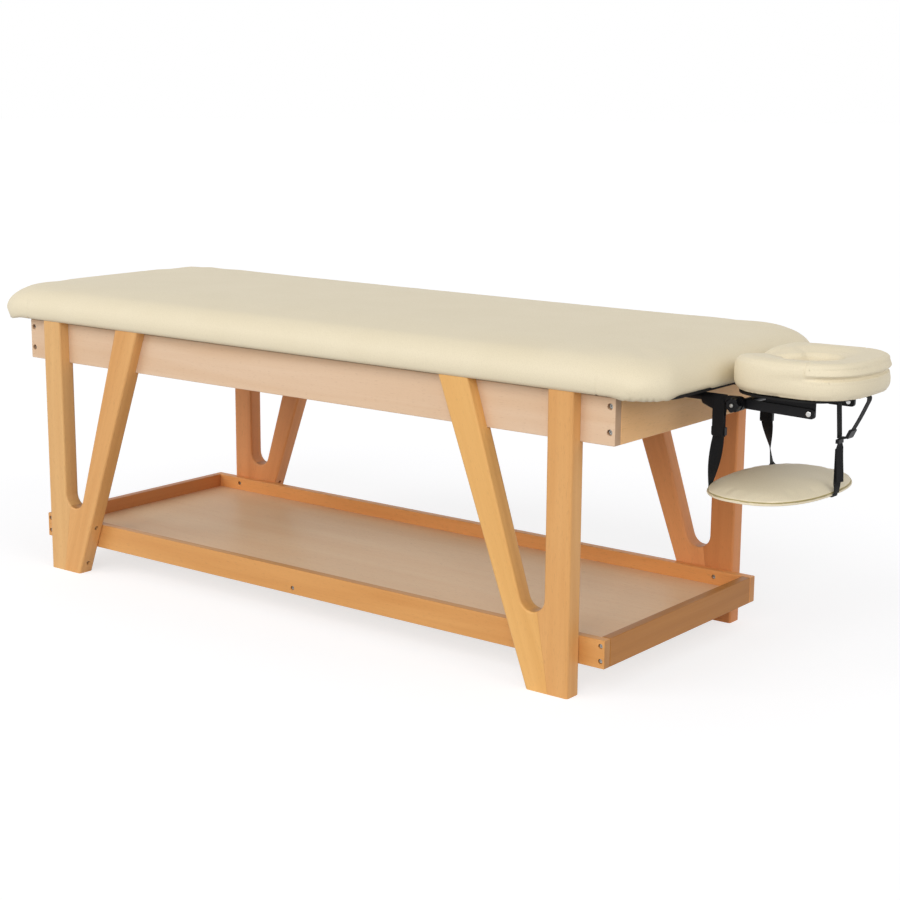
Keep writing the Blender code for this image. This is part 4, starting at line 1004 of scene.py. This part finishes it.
# %% Arm rest pad
RIDGE_HEIGHT, RIDGE_HALF, RIDGE_RUN = 0.003, 0.035, 0.09
DOME_FROM, DOME_RUN = 0.010, 0.010         # above the rim, where the ridge starts and is full
CREASE_TOP, CREASE_RUN, CREASE_IN = 0.009, 0.004, 0.0026
armrest, shape = plump("armrest_cover", "armrest_pad", voxel=0.004, draw_in=0.0005, cap=0.0015,
                       finer=True)
armrest_low, armrest_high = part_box("armrest_pad")
armrest_middle = (armrest_low + armrest_high) / 2
shape.normal_update()
for v in shape.verts:
    forward = share(v.co.x, armrest_middle.x, RIDGE_RUN)
    dome = share(v.co.z - armrest_low.z, DOME_FROM, DOME_RUN)
    v.co.z += RIDGE_HEIGHT * forward * dome * math.exp(-(v.co.y / RIDGE_HALF) ** 2)
    rim = share(armrest_low.z + CREASE_TOP, v.co.z, CREASE_RUN)
    v.co -= v.normal.to_2d().to_3d() * CREASE_IN * rim
finish_pad(armrest, shape, "armrest_pad")
print("arm rest pad with", len(armrest.data.polygons), "faces")

# %% [markdown]
# ## Welt and the crease's painted shade
# Below the crease the cover ends in a welt, and above it lies a thin olive cord: painted shade, a
# darker band that stands for the crease's shadow line. Both follow the rim, so they start from
# the solid's own outline: a level plane cuts the solid, only the cut stays, and it is extruded
# down into a band that Solidify and Subdivision Surface make round.

# %% Arm rest welt and the crease's painted shade
BAND_THICK = 0.0030
WELT_FROM, WELT, WELT_OUT = 0.0003, 0.0045, -0.7
SHADE_CORD_FROM, SHADE_CORD_TO, SHADE_CORD_OUT = 0.0001, 0.0028, -0.3      # above the welt


def rim_band(name, low_z, high_z, outward, look):
    """A rounded band round the arm rest's rim, between two heights."""
    shape = cad_shape("armrest_pad")
    everything = shape.verts[:] + shape.edges[:] + shape.faces[:]
    bmesh.ops.bisect_plane(shape, geom=everything, dist=CUT_NEAR, plane_co=Z * high_z, plane_no=Z,
                           clear_inner=True)
    inside = [e for e in shape.edges if not e.is_boundary]
    bmesh.ops.delete(shape, geom=inside, context="EDGES")
    bmesh.ops.delete(shape, geom=[v for v in shape.verts if not v.link_edges], context="VERTS")
    band = bmesh.ops.extrude_edge_only(shape, edges=shape.edges[:])["geom"]
    lower = [v for v in band if isinstance(v, bmesh.types.BMVert)]
    bmesh.ops.translate(shape, verts=lower, vec=(0, 0, low_z - high_z))
    bmesh.ops.recalc_face_normals(shape, faces=shape.faces)
    piece = add_piece(name, shape, look)
    step = piece.modifiers.new("thickness", "SOLIDIFY")
    step.thickness = BAND_THICK
    step.offset = outward
    step = piece.modifiers.new("rounded", "SUBSURF")
    step.levels = step.render_levels = 2
    bake(piece)
    piece.data.shade_smooth()
    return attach(piece, "armrest")


welt_top = armrest_low.z + WELT
rim_band("armrest_welt", armrest_low.z + WELT_FROM, welt_top, WELT_OUT, VINYL)
# Painted shade: the olive cord darkens the crease above the welt
rim_band("armrest_crease_shade_cord", welt_top + SHADE_CORD_FROM, welt_top + SHADE_CORD_TO, SHADE_CORD_OUT, CREASE_SHADE_CORD)
print("welt and piping")

# %% [markdown]
# ## Straps
# A strap is a flat ribbon that keeps its width while it turns. It is drawn as one edge across the
# webbing, extruded from station to station along its way, which also gives the weave its UV map.
# A Solidify modifier then gives the ribbon its thickness.

# %% Ribbon of webbing
THICK = 0.0016
STRAP_WIDE, FRONT_WIDE = 0.025, 0.0188


def webbing(name, stations, width):
    """A ribbon through stations of middle point and direction across, with its weave along it."""
    shape = bmesh.new()
    weave = shape.loops.layers.uv.new("weave")
    middle, across = stations[0]
    ends = [shape.verts.new(middle + across * width * sign) for sign in (-0.5, 0.5)]
    line = shape.edges.new(ends)
    place = {ends[0]: (0.0, 0.0), ends[1]: (0.0, width)}
    gone = 0.0
    for after, across in stations[1:]:
        gone += (after - middle).length
        middle = after
        made = bmesh.ops.extrude_edge_only(shape, edges=[line])["geom"]
        fresh = [v for v in made if isinstance(v, bmesh.types.BMVert)]
        if (fresh[0].co - ends[0].co).length > (fresh[1].co - ends[0].co).length:
            fresh.reverse()
        for v, sign, v_across in zip(fresh, (-0.5, 0.5), (0.0, width)):
            v.co = middle + across * width * sign
            place[v] = (gone, v_across)
        ends = fresh
        line = [e for e in made
                if isinstance(e, bmesh.types.BMEdge) and set(e.verts) == set(fresh)][0]
    for face in shape.faces:
        for corner in face.loops:
            corner[weave].uv = place[corner.vert]
    piece = add_piece(name, shape, POLYESTER)
    step = piece.modifiers.new("thickness", "SOLIDIFY")
    step.thickness = THICK
    step.offset = 0.0
    return piece


print("webbing", 1000 * STRAP_WIDE, "and", 1000 * FRONT_WIDE, "mm wide")

# %% Paths with rounded corners
BEND_STEPS = 5
BEND_SHARE = 0.45                          # a bend takes at most this share of a side


def round_corners(points, radius):
    """A path through points, its corners rounded."""
    path = [points[0]]
    for before, corner, after in zip(points, points[1:], points[2:]):
        cut = min(radius, (corner - before).length * BEND_SHARE,
                  (after - corner).length * BEND_SHARE)
        a = corner + (before - corner).normalized() * cut
        b = corner + (after - corner).normalized() * cut
        for i in range(BEND_STEPS + 1):
            t = i / BEND_STEPS
            path.append(a.lerp(corner, t).lerp(corner.lerp(b, t), t))
    return path + [points[-1]]


print("bends of", BEND_STEPS, "steps")

# %% [markdown]
# ## Rear straps
# Each rear strap is a loop round a rod, held flat by a buckle, a strap from the buckle to the arm
# rest's rim, and an end bent round the rim. The strap leaves the buckle lying along the table and
# turns as it comes down, until it lies against the rim. For each, only the path has to be found.

# %% Rear loops
GAP = 0.0003                               # between the webbing and what it lies on
ROD_LOW, ROD_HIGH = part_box("cradle_rod_near")
ROD = (ROD_LOW + ROD_HIGH) / 2
ROD_RADIUS = (ROD_HIGH - ROD_LOW).z / 2
ROD_WRAP = ROD_RADIUS + GAP + THICK / 2
WRAP_FROM, WRAP_BY, WRAP_STEPS = -20, 220, 24            # round the rod, in degrees
LEGS_JOIN = 0.043                          # above the loop's lower end
BACK_BEND, FRONT_BEND = 0.006, 0.003
ABOVE_BUCKLE, UNDER_BUCKLE = 0.004, 0.004


def rear_hang(side, sy):
    """The middle of the rod inside a rear loop, and the loop's lower end."""
    low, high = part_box("rear_strap_loop_" + side)
    return Vector(((low.x + high.x) / 2, sy * abs(ROD.y), ROD.z)), low.z


def rear_loop(side, sy):
    """A loop: up behind, over the rod, down in front of the buckle and back under it."""
    rod, tail = rear_hang(side, sy)
    angles = [math.radians(WRAP_FROM + WRAP_BY * i / WRAP_STEPS) for i in range(WRAP_STEPS + 1)]
    around = [rod + Vector((0, ROD_WRAP * math.cos(a), ROD_WRAP * math.sin(a))) for a in angles]
    behind = rod.y + THICK / 2
    back = [Vector((rod.x, behind, tail)), Vector((rod.x, behind, tail + LEGS_JOIN)), around[0]]
    buckle_low, buckle_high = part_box("rear_buckle_" + side)
    before = buckle_low.y + SLIMMER[side].y - GAP - THICK / 2
    under = buckle_low.z - GAP - THICK / 2
    front = [around[-1], Vector((rod.x, before, buckle_high.z + ABOVE_BUCKLE)),
             Vector((rod.x, before, under)), Vector((rod.x, rod.y - UNDER_BUCKLE, under))]
    path = round_corners(back, BACK_BEND) + around[1:-1] + round_corners(front, FRONT_BEND)
    loop = webbing("rear_loop_" + side, [(p, X) for p in path], STRAP_WIDE)
    stand_for(loop, "webbing", "rear_strap_loop_" + side)


print("rear loops wrap a radius of", round(1000 * ROD_WRAP, 2), "mm")

# %% Points on the rear rim
HALF_LONG, HALF_WIDE, RIM_POWER = 0.1165, 0.1825, 2.4    # the rim's outline, a rounded oblong
RIM_DISTANCE = {"near": 0.081, "far": 0.134}             # of a strap from the rim's middle
ARMREST_X = (armrest_low.x + armrest_high.x) / 2


def rear_rim(side, sy):
    """The point of the rear rim that a strap comes down to, and its outward way."""
    distance = RIM_DISTANCE[side]
    wide = distance / HALF_WIDE
    long = (1 - wide ** RIM_POWER) ** (1 / RIM_POWER)
    way = Vector((-long ** (RIM_POWER - 1) / HALF_LONG,
                  sy * wide ** (RIM_POWER - 1) / HALF_WIDE, 0))
    return Vector((ARMREST_X - HALF_LONG * long, sy * distance, 0)), way.normalized()


print("straps meet the rim", list(RIM_DISTANCE.values()), "m from its middle")

# %% Rear straps from buckle to rim
RIM_Z = armrest_low.z
JOINT_Z = RIM_Z + 0.005                    # where a strap ends and its sewn end starts
# How far along its turn a strap is, at shares of its way down
TWIST = {"near": [(0.0, 0.0), (1.0, 1.0)],
         "far": [(0.0, 0.0), (0.06, 0.02), (0.55, 0.485), (0.90, 0.61), (1.0, 1.0)]}
STRAP_STEPS = 48
STRAP_BESIDE, STRAP_BELOW, STRAIGHT_BELOW = 0.003, 0.002, 0.001


def twisted(shares, t):
    """The share of its turn that a strap has made, between the given ones."""
    for (t0, a0), (t1, a1) in zip(shares, shares[1:]):
        if t <= t1:
            return a0 + (a1 - a0) * (t - t0) / (t1 - t0)
    return 1.0


def rear_strap(side, sy):
    """A strap from its buckle down to the rim, turning below the loop's lower end."""
    rod, tail = rear_hang(side, sy)
    rim, way = rear_rim(side, sy)
    top = Vector((rod.x, sy * (abs(ROD.y) + STRAP_BESIDE), tail + LEGS_JOIN - STRAP_BELOW))
    foot = rim + way * (GAP + THICK / 2)
    end_turn = -sy * (math.pi - math.atan2(abs(way.x), abs(way.y)))
    turn_z = tail - STRAIGHT_BELOW
    stations = []
    for i in range(STRAP_STEPS + 1):
        z = top.z + (JOINT_Z - top.z) * i / STRAP_STEPS
        t = share(turn_z, z, turn_z - JOINT_Z)
        middle = top.lerp(foot, t)
        turned = end_turn * twisted(TWIST[side], t)
        stations.append((Vector((middle.x, middle.y, z)),
                         Vector((math.cos(turned), math.sin(turned), 0))))
    strap = webbing("rear_webbing_" + side, stations, STRAP_WIDE)
    stand_for(strap, "webbing", "rear_strap_" + side)


print("straps of", STRAP_STEPS, "steps, sewn at", round(1000 * JOINT_Z, 1), "mm")

# %% Rear strap ends
END_LAP, RIM_BEND = 0.0196, 0.002


def rear_end(side, sy):
    """A strap's end, bent round the rim and fastened below."""
    rim, way = rear_rim(side, sy)
    foot = rim + way * (GAP + THICK / 2)
    across = Vector((-way.y, way.x, 0))
    low = RIM_Z - GAP - THICK / 2
    points = [Vector((foot.x, foot.y, JOINT_Z)), Vector((foot.x, foot.y, low)),
              Vector((rim.x, rim.y, low)) - way * END_LAP]
    path = round_corners(points, RIM_BEND)
    end = webbing("rear_end_" + side, [(p, across) for p in path], STRAP_WIDE)
    stand_for(end, "webbing", "strap_end_" + side)


for side, sy in SIDES:
    rear_loop(side, sy)
    rear_strap(side, sy)
    rear_end(side, sy)
print("rear straps")

# %% [markdown]
# ## Spare webbing
# The near strap's spare length is wound once more round its rod, beside the loop. It is a full turn
# of the ribbon: tight over the rod, and below it slack, so that it hangs lower and leans.

# %% Spare webbing round the near rod
WOUND_STEPS = 36
SLACK_DROP, SLACK_LEAN = 0.010, 0.38
body = frame["nodes"]["rear_strap_loop_near"]["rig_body"]
loop_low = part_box("rear_strap_loop_near")[0]
beside = Vector((loop_low.x - STRAP_WIDE / 2 - GAP, -abs(ROD.y), ROD.z))
turns = []
for i in range(WOUND_STEPS + 1):
    a = 2 * math.pi * i / WOUND_STEPS + QUARTER
    slack = max(0.0, -math.sin(a))
    lean = SLACK_LEAN * slack
    round_rod = Vector((0, ROD_WRAP * math.cos(a), ROD_WRAP * math.sin(a) - SLACK_DROP * slack))
    turns.append((beside + round_rod, Vector((math.cos(lean), 0, -math.sin(lean)))))
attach(webbing("rear_wound_near", turns, STRAP_WIDE), body)
print("wound webbing on", body)

# %% [markdown]
# ## Front loop
# The front strap loops over the platform's crown under the cushion. Its outer leg stands away from
# the edge and comes down through a small slide to meet the inner leg. The slide is the solid one,
# stretched along the leg and with a mould's rounded edges. The loop bends when the face rest
# tilts.

# %% Front slide
SLIDE_STRETCH, SLIDE_ROUND = 0.5, 0.0005
LEG_BELOW = 0.004                          # the outer leg is upright to this far below the platform
half = THICK / 2
loop_low, loop_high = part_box("front_strap_loop")
platform_low, platform_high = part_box("platform")
slide_low, slide_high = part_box("loop_slide")
slide = (slide_low + slide_high) / 2
below, bow = platform_low.z - LEG_BELOW, loop_high.x - half
leg = (Vector((bow, 0, below)) - slide).normalized()
shape = flat_shape("loop_slide")
for v in shape.verts:
    v.co += leg * (v.co - slide).dot(leg) * SLIDE_STRETCH
rounded(shape, shape.edges, SLIDE_ROUND)
long_slide = add_piece("loop_slide_long", shape, NYLON)
smooth(long_slide, SMALL_SHARP)
stand_for(long_slide, "black_plastic", "loop_slide")
print("front slide leans by", round(math.degrees(math.acos(leg.z)), 1), "degrees")

# %% Front loop
INNER_RISE, OUTER_RISE = 0.006, 0.0008     # of the two legs above the point where they meet
LEG_BULGE, BELOW_SLIDE, LOOP_BEND = 0.0012, 0.0105, 0.009
meet_x = (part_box("front_strap")[0].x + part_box("front_strap_tail")[1].x) / 2
apex = Vector((meet_x, 0, loop_low.z))
over = platform_high.z + GAP + half
inner = loop_low.x + half
points = [apex - X * half, apex + Vector((-half, 0, INNER_RISE)), Vector((inner, 0, below)),
          Vector((inner, 0, over)), Vector((platform_high.x, 0, over)),
          Vector((bow, 0, platform_high.z - half)), Vector((bow, 0, below)),
          slide.lerp(Vector((bow, 0, below)), 0.5) + X * LEG_BULGE, slide,
          slide - leg * BELOW_SLIDE, apex + Vector((half, 0, OUTER_RISE))]
path = round_corners(points, LOOP_BEND)
loop = webbing("front_loop", [(p, Y) for p in path], FRONT_WIDE)
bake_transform(loop)
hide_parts("front_strap_loop")
print("front loop of", len(path), "stations")

# %% [markdown]
# ## Front strap
# Below the keeper the strap lies in two layers: its free end, and the tail that is sewn to the arm
# rest's front rim. They slide on each other, so both are turned alike, and only the free end leans
# away. The tail turns back where it meets the rim, below anything that the other layer reaches.

# %% Front strap, tail and end
FRONT_STEPS = 24
STRAP_TURN, TURN_RUN = 0.30, 0.0105
FREE_END_LEAN, END_ROOM = 0.0035, 0.0008
keeper_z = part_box("front_buckle")[0].z
free_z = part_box("front_strap")[0].z
turned_z = keeper_z - TURN_RUN
LAYERS = [("front_webbing", "front_strap", FREE_END_LEAN, loop_low.z - END_ROOM),
          ("front_tail", "front_strap_tail", 0.0, turned_z)]
for name, cad_node, lean, top_z in LAYERS:
    low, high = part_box(cad_node)
    stations = []
    for i in range(FRONT_STEPS + 1):
        z = top_z + (low.z - top_z) * i / FRONT_STEPS
        turned = STRAP_TURN * ramp(z, keeper_z, turned_z) * ramp(z, JOINT_Z, free_z)
        out = lean * ramp(z, turned_z, free_z)
        stations.append((Vector(((low.x + high.x) / 2 + out, 0, z)),
                         Vector((math.sin(turned), math.cos(turned), 0))))
    stand_for(webbing(name, stations, FRONT_WIDE), "webbing", cad_node)

low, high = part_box("strap_end_front")
rim_x, under = high.x - half, low.z + half
points = [Vector((rim_x, 0, JOINT_Z)), Vector((rim_x, 0, under)), Vector((low.x, 0, under))]
path = round_corners(points, RIM_BEND)
stand_for(webbing("front_end", [(p, Y) for p in path], FRONT_WIDE), "webbing", "strap_end_front")
print("front strap")

# %% Sizes and finish
low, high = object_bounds()
print("dressed box in mm", [round(1000 * v) for v in high - low])
